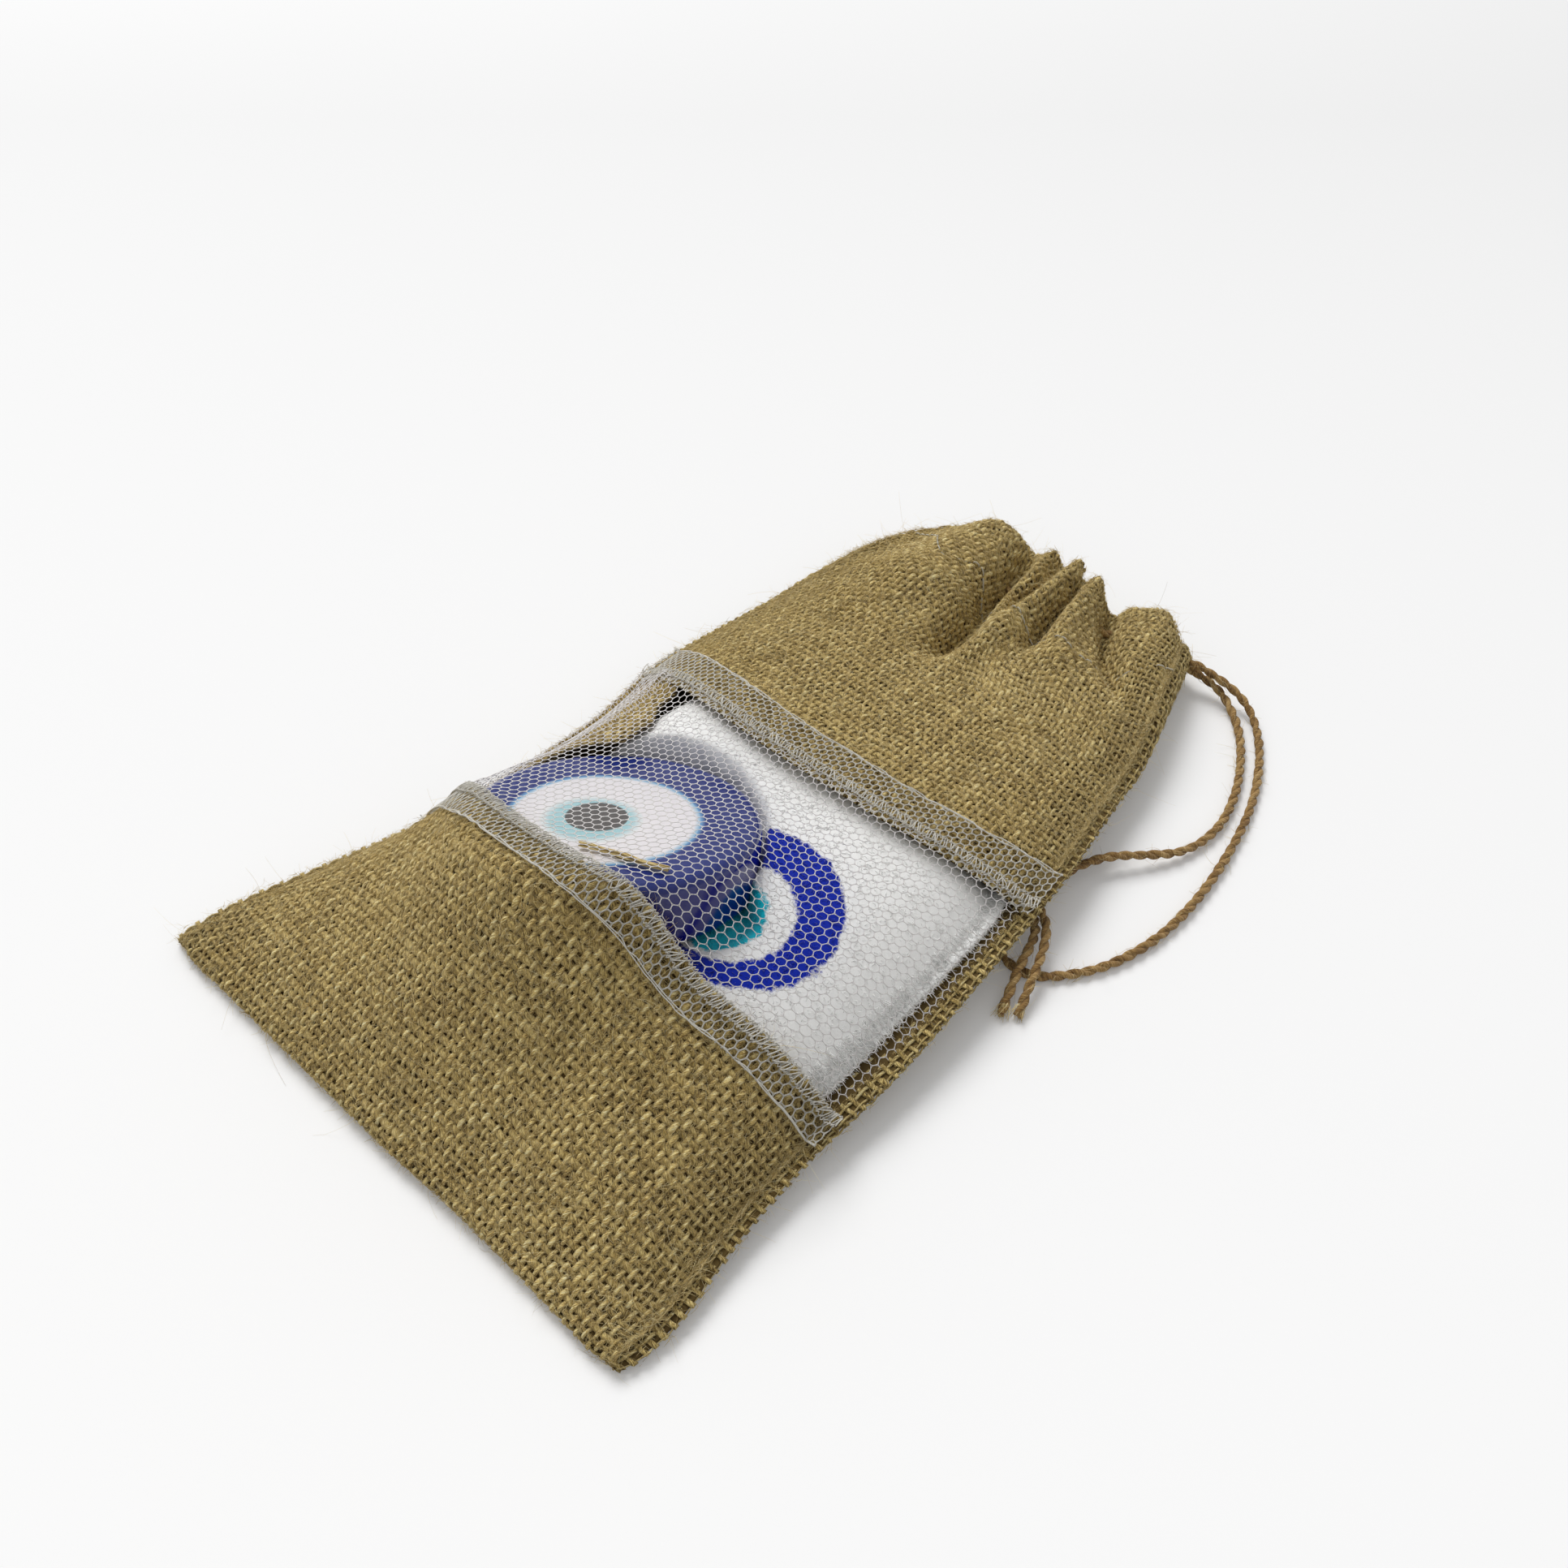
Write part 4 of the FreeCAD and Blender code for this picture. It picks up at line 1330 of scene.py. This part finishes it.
    def build(self, finishes: Finishes) -> None:
        """Make every length of twine.

        Args:
            finishes: Every finish.
        """
        outer = self._twine("twine_outer_strand", self.outer_route, finishes, 31)
        inner = self._twine("twine_inner_strand", self.inner_route, finishes, 32)
        first = self._twine("twine_first_tail", self.first_tail, finishes, 33, frayed=True)
        second = self._twine("twine_second_tail", self.second_tail, finishes, 34, frayed=True)
        held = self._twine("twine_in_hem", self.hem_route, finishes, 35)
        knot = self._knot(finishes)
        for length, node in (
            (outer, "outer_strand"), (inner, "inner_strand"), (first, "first_tail"), (second, "second_tail"),
            (held, "casing_twine"), (knot, "drawstring_knot"),
        ):  # fmt: skip
            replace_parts(length.plies, node)
        on_it = [outer.fibres]
        for length in (knot, first, second):
            on_it += [length.plies, length.fibres]


@dataclass(frozen=True)
class Cloth:
    """One woven cloth.

    Attributes:
        name: Start of its pieces' names.
        grid: Its surface.
        counts: Lengthways and crossways yarns.
        seed: Seed of its yarns and, two further on, of its fibres.
        fibres: Loose fibres in each piece of them.
        layers: Pieces of loose fibres.
        samples: Points along a yarn for each crossing.
        sides: Corners of a yarn's section.
    """

    name: str
    grid: ClothGrid
    counts: tuple[int, int]
    seed: int
    fibres: int
    layers: int = 1
    samples: int = 4
    sides: int = 6


@dataclass
class BurlapCloth:
    """Jute front and back of the pouch, in millimetres."""

    weave: Weave = field(default_factory=Weave)
    inset: float = 3.6
    under_band: float = 1.6
    lip_radius: float = 1.7
    back_lip_radius: float = 1.3
    hem_depth: float = 13.0
    sink: float = 0.5
    back_sink: float = 0.85
    least_height: float = 0.9
    corner: float = 1.6
    sections: int = 300
    section_points: int = 500

    def strip(self, y: Array, right: bool) -> Array:
        """Width of the back's edge on top: beside the net it is wider at the right and narrow at the left."""
        beside = smoothstep((y + 62.0) / 8.0) * smoothstep((22.0 - y) / 8.0)
        return self.inset + (0.5 if right else -2.2) * beside

    def lower(self) -> ClothGrid:
        """Front from the bottom edge to the net."""
        grid = over_height(
            lambda x: SHAPE.bottom + 1.4 + 1.6 * smoothstep((np.abs(x + 1.2) - 62.0) / 7.0),
            lambda x: along(SHAPE.lower_join, x) + self.under_band, SHAPE.front, (self.inset, self.inset),
        ).sunk(self.sink)  # fmt: skip
        first, ahead, normal = grid.points[0], -grid.lengthways[0], grid.normals[0]
        turns = np.linspace(2.4, 0.0, 9)[:-1]
        fold = [first + normal * (math.cos(a) - 1.0) + ahead * math.sin(a) for a in turns]
        points = np.concatenate([np.array(fold), grid.points])
        points[..., 2] = np.maximum(points[..., 2], 0.95)
        return ClothGrid(points)

    def upper(self) -> ClothGrid:
        """Front from the net to the mouth, with its turned hem."""
        grid = over_height(
            lambda x: along(SHAPE.upper_join, x) - self.under_band,
            lambda x: along(SHAPE.mouth_line, x) - self.lip_radius, SHAPE.front, (self.inset, self.inset),
        ).sunk(self.sink)  # fmt: skip
        return grid.with_lip(self.lip_radius, self.hem_depth)

    def allowance(self) -> ClothGrid:
        """Left seam allowance, which lies inside the window under the net and ends in a raw edge."""
        y = np.linspace(-44.0, 22.0, 200)[:, None]
        part = np.linspace(0.0, 1.0, 60)[None, :]
        widths = (-44.0, 4.0), (-30.0, 13.0), (-17.0, 24.0), (-4.0, 20.0), (10.0, 16.5), (22.0, 14.0)
        width = along(widths, y)
        x = SHAPE.left(y) + 1.4 + (width + 0.8 * np.sin(y * 0.55)) * part
        x, y = np.broadcast_arrays(x, y)
        return ClothGrid(np.stack([x, y, SHAPE.front(x, y) - 1.3 - 0.5 * part], axis=2))

    def back(self) -> ClothGrid:
        """Back, wrapped round both side edges up to the seam lines, with its turned hem."""
        y = np.linspace(SHAPE.bottom + 1.2, SHAPE.mouth - 3.0, self.sections)
        rows = []
        for at in y:
            left, right = float(SHAPE.left(at)), float(SHAPE.right(at))
            corner = self.corner * float(smoothstep((SHAPE.bottom + 6.0 - at) / 6.0)) ** 2
            left, right = left + corner, right - corner
            section = []
            for edge, way in ((left, 1.0), (right, -1.0)):
                low = float(SHAPE.underside(np.array(edge), np.array(at)))
                reach = float(self.strip(np.array(at), way < 0))
                high = float(SHAPE.front(np.array(edge + way * reach), np.array(at))) - self.sink
                half = 0.5 * (high - low)
                wide = min(0.9 * half + 0.4, reach - 0.2)
                angles = np.linspace(0.5 * math.pi, 1.5 * math.pi, 24)
                side = [(edge + way * (reach + 0.6), high)]
                for a in angles:
                    side.append((edge + way * (wide + wide * math.cos(a)), low + half + half * math.sin(a)))
                section.append(side if way > 0 else side[::-1])
            middle = np.linspace(section[0][-1][0], section[1][0][0], 200)[1:-1]
            under = zip(middle, SHAPE.underside(middle, np.full_like(middle, at)))
            profile = np.array([(x, at, z) for x, z in (*section[0], *under, *section[1])])
            rows.append(even_rows(profile[None], self.section_points)[0])
        grid = ClothGrid(SHAPE.leaned(np.array(rows)), facing=-1.0).sunk(self.back_sink)
        grid.points[..., 2] = np.maximum(grid.points[..., 2], self.least_height)
        return ClothGrid(grid.points, facing=-1.0).with_lip(self.back_lip_radius, self.hem_depth)

    def _woven(self, cloth: Cloth, finishes: Finishes) -> list[Piece]:
        """Weave one cloth, put a dark layer of painted shade just under its yarns and scatter loose fibres over
        it.

        Args:
            cloth: The cloth.
            finishes: Every finish.

        Returns:
            The layer of painted shade under the yarns, the lengthways yarns, the crossways yarns and the
            fibres.
        """
        grid, counts = cloth.grid, cloth.counts
        yarns = []
        for turn, (title, finish) in enumerate((("warp", finishes.burlap), ("weft", finishes.cross_burlap))):
            soup = self.weave.yarns(grid, counts, turn == 0, cloth.samples, cloth.sides, cloth.seed + turn)
            yarns.append(soup.build(f"{cloth.name}_{title}", finish, None, Slot.BURLAP))
        # Painted shade: a dark sheet just under the yarns stands for the shade in the gaps between them.
        soup = Soup()
        soup.sheet(grid.resampled(counts[1] * 2 + 1, counts[0] * 2 + 1).sunk(0.45))
        ground = soup.build(cloth.name + "_ground", finishes.shade, None, Slot.BURLAP)
        fuzz = []
        for index in range(cloth.layers):
            number = f"_{index}" if cloth.layers > 1 else ""
            soup = self._fuzz(grid, cloth.fibres, cloth.seed + 2 + index)
            fuzz.append(soup.build(f"{cloth.name}_fuzz{number}", finishes.fuzz, None, Slot.BURLAP))
        return [ground, *yarns, *fuzz]

    @staticmethod
    def _fuzz(grid: ClothGrid, count: int, seed: int) -> Soup:
        """Scatter loose fibres over a cloth.

        Args:
            grid: The cloth's surface.
            count: Number of fibres.
            seed: Seed of their places.

        Returns:
            The fibres: short ones that lie on the yarns and a few long curled ones.
        """
        rng = np.random.default_rng(seed)
        at = rng.uniform(0, 1, (2, count))
        edge = count // 9
        at[0, :edge] = rng.choice([0.0, 1.0], edge) + rng.normal(0, 0.006, edge)
        roots, normals = grid.at(at[0], at[1])
        right = math.pi / 2
        angle = rng.choice([0.0, right, right, 3 * right, 3 * right], count) + rng.normal(0, 0.5, count)
        across = unit(np.cross(normals, np.array([0.0, 1.0, 0.0])[None]))
        ahead = across * np.cos(angle)[:, None] + np.cross(normals, across) * np.sin(angle)[:, None]
        soup = Soup()
        soup.stray(
            rng, roots + normals * 0.52, normals, ahead, (0.9, 2.4), 0.055, (0.0, 0.15), 0.5, 3,
            band=(0.0, 0.8), tone=-0.4, flat=0.7, floor=FLOOR_CLEARANCE,
        )  # fmt: skip
        few = slice(None, None, 16)
        soup.stray(
            rng, roots[few] + normals[few] * 0.6, normals[few], ahead[few], (1.6, 4.6), 0.034, (0.1, 0.6),
            1.4, 8, band=(0.8, 1.0), floor=FLOOR_CLEARANCE,
        )  # fmt: skip
        return soup

    def build(self, finishes: Finishes) -> None:
        """Make the three cloths with their fibres.

        Args:
            finishes: Every finish.
        """
        low = self._woven(Cloth("front_lower", self.lower(), (84, 35), 101, 11000, 2), finishes)
        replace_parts(low[0], "front_lower_panel")
        high = self._woven(Cloth("front_upper", self.upper(), (76, 62), 111, 11500, 3, sides=5), finishes)
        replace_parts(high[0], "front_upper_panel", "front_casing")
        rear = self._woven(Cloth("back", self.back(), (78, 104), 121, 9000, samples=3, sides=4), finishes)
        inner = self._woven(Cloth("left_allowance", self.allowance(), (12, 40), 131, 1600), finishes)
        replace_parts(rear[0], "back_panel", "back_casing", "left_side_seam", "right_side_seam", "bottom_seam")


@dataclass
class NetWindow:
    """Hexagonal net across the window, doubled along both joins, in millimetres."""

    side: float = 1.27
    lower_band: Pair = (-6.4, 1.6)
    upper_band: Pair = (-3.4, 11.2)
    band_thread: float = 0.155
    band_stretch: Pair = (0.78, 1.12)
    pleat: Table = ((-30.0, -37.0), (-14.0, -38.2), (4.0, -42.0), (14.0, -46.0), (24.0, -52.0))
    pleat_height: float = 1.6

    def _lattice(
        self, soup: Soup, grid: ClothGrid, seed: int, shift: float, lift: float, band: Pair,
        inside: Callable[[Array], Array] | None = None, stretch: Pair = (1.0, 1.0), thread: float = 0.078,
    ) -> None:  # fmt: skip
        """Add threads along a lattice of rounded six-sided cells.

        Args:
            soup: Piece that they join.
            grid: Surface that they lie on.
            seed: Seed of their unevenness.
            shift: Offset of the lattice, in cells.
            lift: Distance off the surface.
            band: Part of the layout's height.
            inside: Chooses threads by their middles, or None for all.
            stretch: How much the cells are stretched across and lengthways.
            thread: Half thickness of a thread.
        """
        rng = np.random.default_rng(seed)
        width = float(np.median(run_length(grid.points)[:, -1])) / stretch[0]
        length = float(np.median(run_length(grid.points.transpose(1, 0, 2)[::20])[:, -1])) / stretch[1]
        high = math.sqrt(3.0) * self.side
        columns, rows = int(width / (1.5 * self.side)) + 2, int(length / high) + 2
        i, j = (a.ravel() for a in np.meshgrid(np.arange(-1, columns), np.arange(-1, rows)))
        middle = np.stack([1.5 * self.side * (i + shift), high * (j + shift + 0.5 * (i % 2))], axis=1)
        sideways, half, rise = np.array((self.side, 0.0)), 0.5 * self.side, 0.5 * high
        joints = []
        for place, way in ((sideways, 1.0), (np.array((half, rise)), -1.0)):
            spokes = sideways * way, np.array((-half * way, rise)), np.array((-half * way, -rise))
            for first, second in ((0, 1), (1, 2), (2, 0)):
                a, b = spokes[first] / 2, spokes[second] / 2
                joints.append(np.stack([middle + place + past for past in (a, (a + b) * 0.16, b)], axis=1))
        flat = np.concatenate(joints)
        flat = flat[((flat.min(axis=1) > 0) & (flat.max(axis=1) < (width, length))).all(axis=1)]
        u, v = flat[..., 0], flat[..., 1]
        warped = u + 0.18 * np.sin(u * 0.31 + 1.3 * np.sin(v * 0.17)), v + 0.18 * np.sin(v * 0.27 + u * 0.11)
        points, normals = grid.at(warped[0] / width, warped[1] / length)
        if inside is not None:
            keep = inside(points.mean(axis=1))
            points, normals = points[keep], normals[keep]
        size = thread * rng.uniform(0.85, 1.2, (len(points), 1))
        tone = rng.normal(0, 0.5, (len(points), 1))
        soup.strands(points + normals * lift, size, size, normals, 3, tone, capped=False, band=band)

    def _fold_edge(self, soup: Soup, strip: ClothGrid, folded: float, seed: int) -> None:
        """Run two loose threads along the folded edge of a band.

        Args:
            soup: Piece that they join.
            strip: The band's surface.
            folded: Which end of the strip is folded: 0 the near one, 1 the far one.
            seed: Seed of their unevenness.
        """
        rng = np.random.default_rng(seed)
        shape = 2, 260
        share = np.broadcast_to(np.linspace(0.0, 1.0, shape[1]), shape)
        apart = 0.03 * np.arange(2)[:, None] * (1 - 2 * folded)
        beside = abs(folded - 0.012) + 0.04 * slow_noise(rng, shape, 60) + apart
        points, normals = strip.at(share, np.clip(beside, 0.0, 1.0))
        size = self.band_thread
        tone = rng.normal(0, 0.4, (2, 1))
        soup.strands(points + normals * 0.95, size, size, normals, 4, tone, band=(0.9, 1.0))

    def _doubled(self, places: Array) -> Array:
        """Where the net lies double: along the pleat and from there to the left edge."""
        return (places[:, 1] > -26.0) & (places[:, 0] < along(self.pleat, places[:, 1]) + 2.6)

    def build(self, finishes: Finishes) -> None:
        """Make the window and both bands.

        Args:
            finishes: Every finish.
        """
        window = over_height(
            lambda x: along(SHAPE.lower_join, x), lambda x: along(SHAPE.upper_join, x),
            SHAPE.front, (0.9, 3.9),
        )
        edge = 0.9 * smoothstep((np.abs(np.linspace(-1.0, 1.0, len(window.points))) - 0.78) / 0.12)
        window.points[..., 2] += edge[:, None] - 0.1
        x, y = window.points[..., 0], window.points[..., 1]
        pleat = np.exp(-(((x - along(self.pleat, y)) / 1.9) ** 2)) * smoothstep((y + 30.0) / 14.0)
        window.points[..., 2] += self.pleat_height * pleat
        window = ClothGrid(window.points)
        soup = Soup()
        self._lattice(soup, window, 201, 0.0, 0.0, (0.0, 0.8))
        self._lattice(soup, window, 202, 0.37, 0.5, (0.8, 1.0), self._doubled)
        net = soup.build("net_window_threads", finishes.net, None, Slot.NET)
        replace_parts(net, "net_window")
        for name, join, reach, node, seed, folded in (
            ("lower_band_threads", SHAPE.lower_join, self.lower_band, "lower_net_band", 211, 0.0),
            ("upper_band_threads", SHAPE.upper_join, self.upper_band, "upper_net_band", 221, 1.0),
        ):
            strip = beside_join(join, reach, 1.5)
            soup = Soup()
            self._lattice(soup, strip, seed, 0.3, 0.85, (0.0, 0.9), None, self.band_stretch, self.band_thread)
            self._fold_edge(soup, strip, folded, seed + 1)
            band = soup.build(name, finishes.thread, None, Slot.NET)
            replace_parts(band, node)


@dataclass
class Stitching:
    """White thread over both joins and through the hem, in millimetres."""

    pitch: float = 0.72
    reach: float = 1.2
    thread: float = 0.12
    hem_thread: float = 0.19

    def _rungs(self, name: str, join: Table, node: str, seed: int, lean: float, finishes: Finishes) -> None:
        """Sew dense rungs over a join.

        Args:
            name: Piece's name.
            join: The join's line.
            node: Solid that it stands for.
            seed: Seed of its unevenness.
            lean: Sideways lean of a rung.
            finishes: Every finish.
        """
        rng = np.random.default_rng(seed)
        strip = beside_join(join, (-self.reach - 1, self.reach + 1), 1.2)
        width = float(np.median(run_length(strip.points)[:, -1]))
        count = int(width / self.pitch)
        share = (np.arange(count)[:, None] + 0.5 + rng.normal(0, 0.12, (count, 1))) / count
        t = np.linspace(-1, 1, 7)[None, :]
        half = 0.5 * self.reach / (self.reach + 1)
        leans = (lean + rng.normal(0, 0.35, (count, 1))) * t
        across = share + (leans + rng.normal(0, 0.15, (count, 1))) / width
        lengthways = 0.5 + half * (t * rng.uniform(0.75, 1.2, (count, 1)) + rng.normal(0, 0.12, (count, 1)))
        points, normals = strip.at(across, lengthways)
        centres = points + normals * (1.3 + 0.25 * (1 - t**2))[..., None]
        soup = Soup()
        size = self.thread * rng.uniform(0.85, 1.15, (count, 1))
        soup.strands(centres, size, size * 0.8, normals, 6, rng.normal(0, 0.5, (count, 1)), band=(0.0, 0.6))
        at = np.linspace(0.003, 0.997, count * 4)[None, :]
        turn = np.arange(count * 4) * math.pi / 2
        size = self.thread * 0.95
        for side, band in ((-1.0, (0.6, 0.8)), (1.0, (0.8, 1.0))):
            zigzag = 0.28 * np.sin(turn)[None, :] + 0.3 * slow_noise(rng, (1, count * 4), count)
            points, normals = strip.at(at, 0.5 + half * side + zigzag / (2 * (self.reach + 1)))
            line = points + normals * (1.35 + 0.12 * np.cos(turn))[None, :, None]
            soup.strands(line, size, size * 0.85, normals, 6, 0.0, band=band)
        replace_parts(soup.build(name, finishes.thread, None, Slot.THREAD), node)

    def _hem_stitch(
        self, name: str, node: str, row: Table, height: Callable[[Array, Array], Array], count: int,
        shown: float, seed: int, finishes: Finishes,
    ) -> None:  # fmt: skip
        """Sew a row of running stitches through a hem.

        Args:
            name: Piece's name.
            node: Solid that it stands for.
            row: Line of the row: Y at each X.
            height: Z of the cloth's face, from X and Y.
            count: Number of stitches.
            shown: Share of them that isn't sunk in the jute.
            seed: Seed of its unevenness.
            finishes: Every finish.
        """
        rng = np.random.default_rng(seed)
        t = np.linspace(-1, 1, 9)[None, :]
        ends = row[0][0], row[-1][0]
        x = ends[0] + (ends[1] - ends[0]) * (np.arange(count)[:, None] + 0.5 + 0.40 * t) / count
        y = along(row, x) + rng.normal(0, 0.15, (count, 1))
        depth = np.where(rng.uniform(0, 1, (count, 1)) < shown, 0.35, -0.35)
        z = height(x, y) + depth - 0.5 * t**6
        centres = np.stack([x, y, z], axis=2)
        up = np.broadcast_to((0.0, 0.0, 1.0), centres.shape)
        soup = Soup()
        size = self.hem_thread
        soup.strands(centres, size, size * 0.8, up, 6, rng.normal(0, 0.6, (count, 1)))
        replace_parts(soup.build(name, finishes.hem_thread, None, Slot.THREAD), node)

    def build(self, finishes: Finishes) -> None:
        """Sew every row.

        Args:
            finishes: Every finish.
        """
        self._rungs("lower_join_stitches", SHAPE.lower_join, "lower_band_stitch", 301, 0.4, finishes)
        self._rungs("upper_join_stitches", SHAPE.upper_join, "upper_band_stitch", 302, -0.4, finishes)
        front = (
            (-38.0, 98.0), (-30.2, 96.0), (-20.8, 87.0), (-12.2, 93.0), (-4.3, 86.0), (8.0, 84.0),
            (22.0, 83.5), (36.0, 87.7), (41.4, 93.0), (45.5, 97.0),
        )  # fmt: skip
        self._hem_stitch(
            "front_hem_stitches", "front_casing_stitch", front, SHAPE.front, 46, 0.5, 303, finishes
        )  # fmt: skip
        back = ((-38.0, 94.0), (0.0, 93.0), (42.0, 94.0))

        def below(x: Array, y: Array) -> Array:
            """Face that the back's row lies on."""
            return SHAPE.underside(x, y) + 0.3

        self._hem_stitch("back_hem_stitches", "back_casing_stitch", back, below, 30, 1.0, 304, finishes)


@dataclass
class PlushTowel:
    """Folded plush towel under the disc, in millimetres."""

    left: float = -38.0
    right: float = 60.0
    near: float = -98.0
    far: float = 14.0
    height: float = 23.5
    edge: float = 8.0
    corner: float = 3.5
    tufts: int = 8000
    edge_tufts: int = 1500
    cells: int = 90

    def _drawn_in(self, y: Array) -> Array:
        """How far the sides draw in towards the corners."""
        return self.corner * ((2 * y - self.far - self.near) / (self.far - self.near)) ** 10

    def top(self, x: Array, y: Array) -> Array:
        """Upper face: rounded at its sides and pressed down under the disc."""
        across = (2 * x - self.left - self.right) / (self.right - self.left - 2 * self._drawn_in(y))
        lengthways = (2 * y - self.near - self.far) / (self.far - self.near)
        side = np.where(across > 0, np.abs(across) ** 4, across**8)
        end = np.where(lengthways > 0, np.abs(lengthways) ** 16, lengthways**8)
        free = self.edge + (self.height - self.edge) * (1 - side) * (1 - end)
        under_net = SHAPE.front(x, y) - 1.7
        away = np.hypot(x - SHAPE.disc_top[0], y - SHAPE.disc_top[1])
        past = away - SHAPE.disc_radius
        behind = smoothstep(((y - SHAPE.disc_top[1]) / np.maximum(away, 1.0) - 0.05) / 0.3)
        bulge = (0.8 + 7.2 * behind) * soft_max(past - 5.0 + 6.0 * behind, 0 * past, 0.6)
        under_disc = SHAPE.disc_plane(x, y, SHAPE.disc_thickness + 0.5) + bulge
        least = SHAPE.underside(x, y) + 4.2
        return soft_max(soft_min(soft_min(free, under_net, 2.0), under_disc, 2.4), least, 1.0)

    def _wall(self, soup: Soup) -> None:
        """Join the rims of the upper and the lower sheet, the first two in a soup."""
        last, step = self.cells - 1, np.arange(self.cells - 1)
        corner = self.cells * last
        down = self.cells * step
        rim = np.concatenate([step, last + down, corner + last - step, corner - down])
        beside, below = np.roll(rim, -1), self.cells**2
        soup.faces.append(np.stack([rim, rim + below, beside + below, beside], axis=-1))
        share = np.linspace(0, 0.98, len(rim))[:, None, None]
        soup.maps.append(share * (1.0, 0.0) + ((0.0, 0.0), (0.0, 0.008), (0.002, 0.008), (0.002, 0.0)))

    def build(self, finishes: Finishes) -> None:
        """Make the towel and its pile.

        Args:
            finishes: Every finish.
        """
        part = np.linspace(0.0, 1.0, self.cells)
        across, ahead = np.meshgrid(part, part)
        y = self.near + (self.far - self.near) * ahead
        draw = self._drawn_in(y)
        x = (self.left + draw) * (1 - across) + (self.right - draw) * across
        top = ClothGrid(np.stack([x, y, self.top(x, y) - 0.6], axis=2))
        under = ClothGrid(np.stack([x, y, SHAPE.underside(x, y) + 1.9], axis=2), facing=-1.0)
        soup = Soup()
        soup.sheet(top)
        soup.sheet(under)
        self._wall(soup)
        base = soup.build("towel_base", finishes.towel, Body.POUCH, Slot.TOWEL)
        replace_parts(base, "folded_towel")
        rng = np.random.default_rng(401)
        pile = Soup()
        for count, across, length, radius, lift, spread, band in (
            (self.tufts, (0.0, 1.0), (0.5, 1.2), 0.11, (0.15, 0.5), math.pi, (0.0, 0.9)),
            (self.edge_tufts, (0.955, 1.0), (1.0, 2.2), 0.10, (-0.5, 0.5), 0.6, (0.9, 1.0)),
        ):
            roots, normals = top.at(rng.uniform(*across, count), rng.uniform(0.35, 1, count))
            angle = rng.uniform(-spread, spread, count)
            ahead = np.stack([np.cos(angle), np.sin(angle), 0 * angle], axis=1)
            pile.stray(rng, roots, normals, ahead, length, radius, lift, 0.5, 3, band=band, tone=-0.6)
        pile.build("towel_pile", finishes.towel, Body.POUCH, Slot.TOWEL)


@dataclass
class GlassEye:
    """Fused-glass disc, whose solids are kept, and the jute strand on it, whose fibres are in millimetres."""

    strand: Sequence[Point] = (
        (-0.0025, -0.0530, 0.0363), (0.0035, -0.0506, 0.0367), (0.0098, -0.0494, 0.0377),
        (0.0165, -0.0466, 0.0382),
    )
    fibres: int = 26
    fibre_radius: float = 0.11

    def build(self, frame: dict, finishes: Finishes) -> None:
        """Dress the disc and lay the strand on it.

        Args:
            frame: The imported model.
            finishes: Every finish.
        """
        for node, material in (
            ("disc_body", finishes.blue_glass), ("disc_white_ring", finishes.white_glass),
            ("disc_light_blue_ring", finishes.light_blue_glass), ("disc_pupil", finishes.dark_glass),
        ):  # fmt: skip
            mesh = frame["nodes"][node].data
            mesh.materials.clear()
            mesh.materials.append(material)
            LOG.info("%s: %s", node, material.name)
        rng = np.random.default_rng(501)
        line, _ = spine_of(self.strand, 0.4)
        side, up = carried_frame(line)
        soup = Soup()
        count = self.fibres
        offset = rng.normal(0, 0.38, (count, 2))
        beside = offset[:, :1] + 0.35 * slow_noise(rng, (count, len(line)), 4)
        above = offset[:, 1:] * 0.6
        lines = line[None] + side[None] * beside[..., None] + up[None] * above[..., None]
        size = self.fibre_radius
        soup.strands(lines, size, size, up[None], 5, rng.normal(0.3, 0.5, (count, 1)))
        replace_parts(soup.build("strand_on_glass", finishes.fuzz, Body.POUCH, Slot.TWINE), "loose_strand")


def main() -> None:
    """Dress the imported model, piece by piece."""
    logging.basicConfig(level=logging.INFO, format="%(message)s")
    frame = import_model()
    finishes = Finishes()
    Studio().build(finishes)
    Drawstring().build(finishes)
    BurlapCloth().build(finishes)
    NetWindow().build(finishes)
    Stitching().build(finishes)
    PlushTowel().build(finishes)
    GlassEye().build(frame, finishes)


if __name__ == "__main__":
    main()
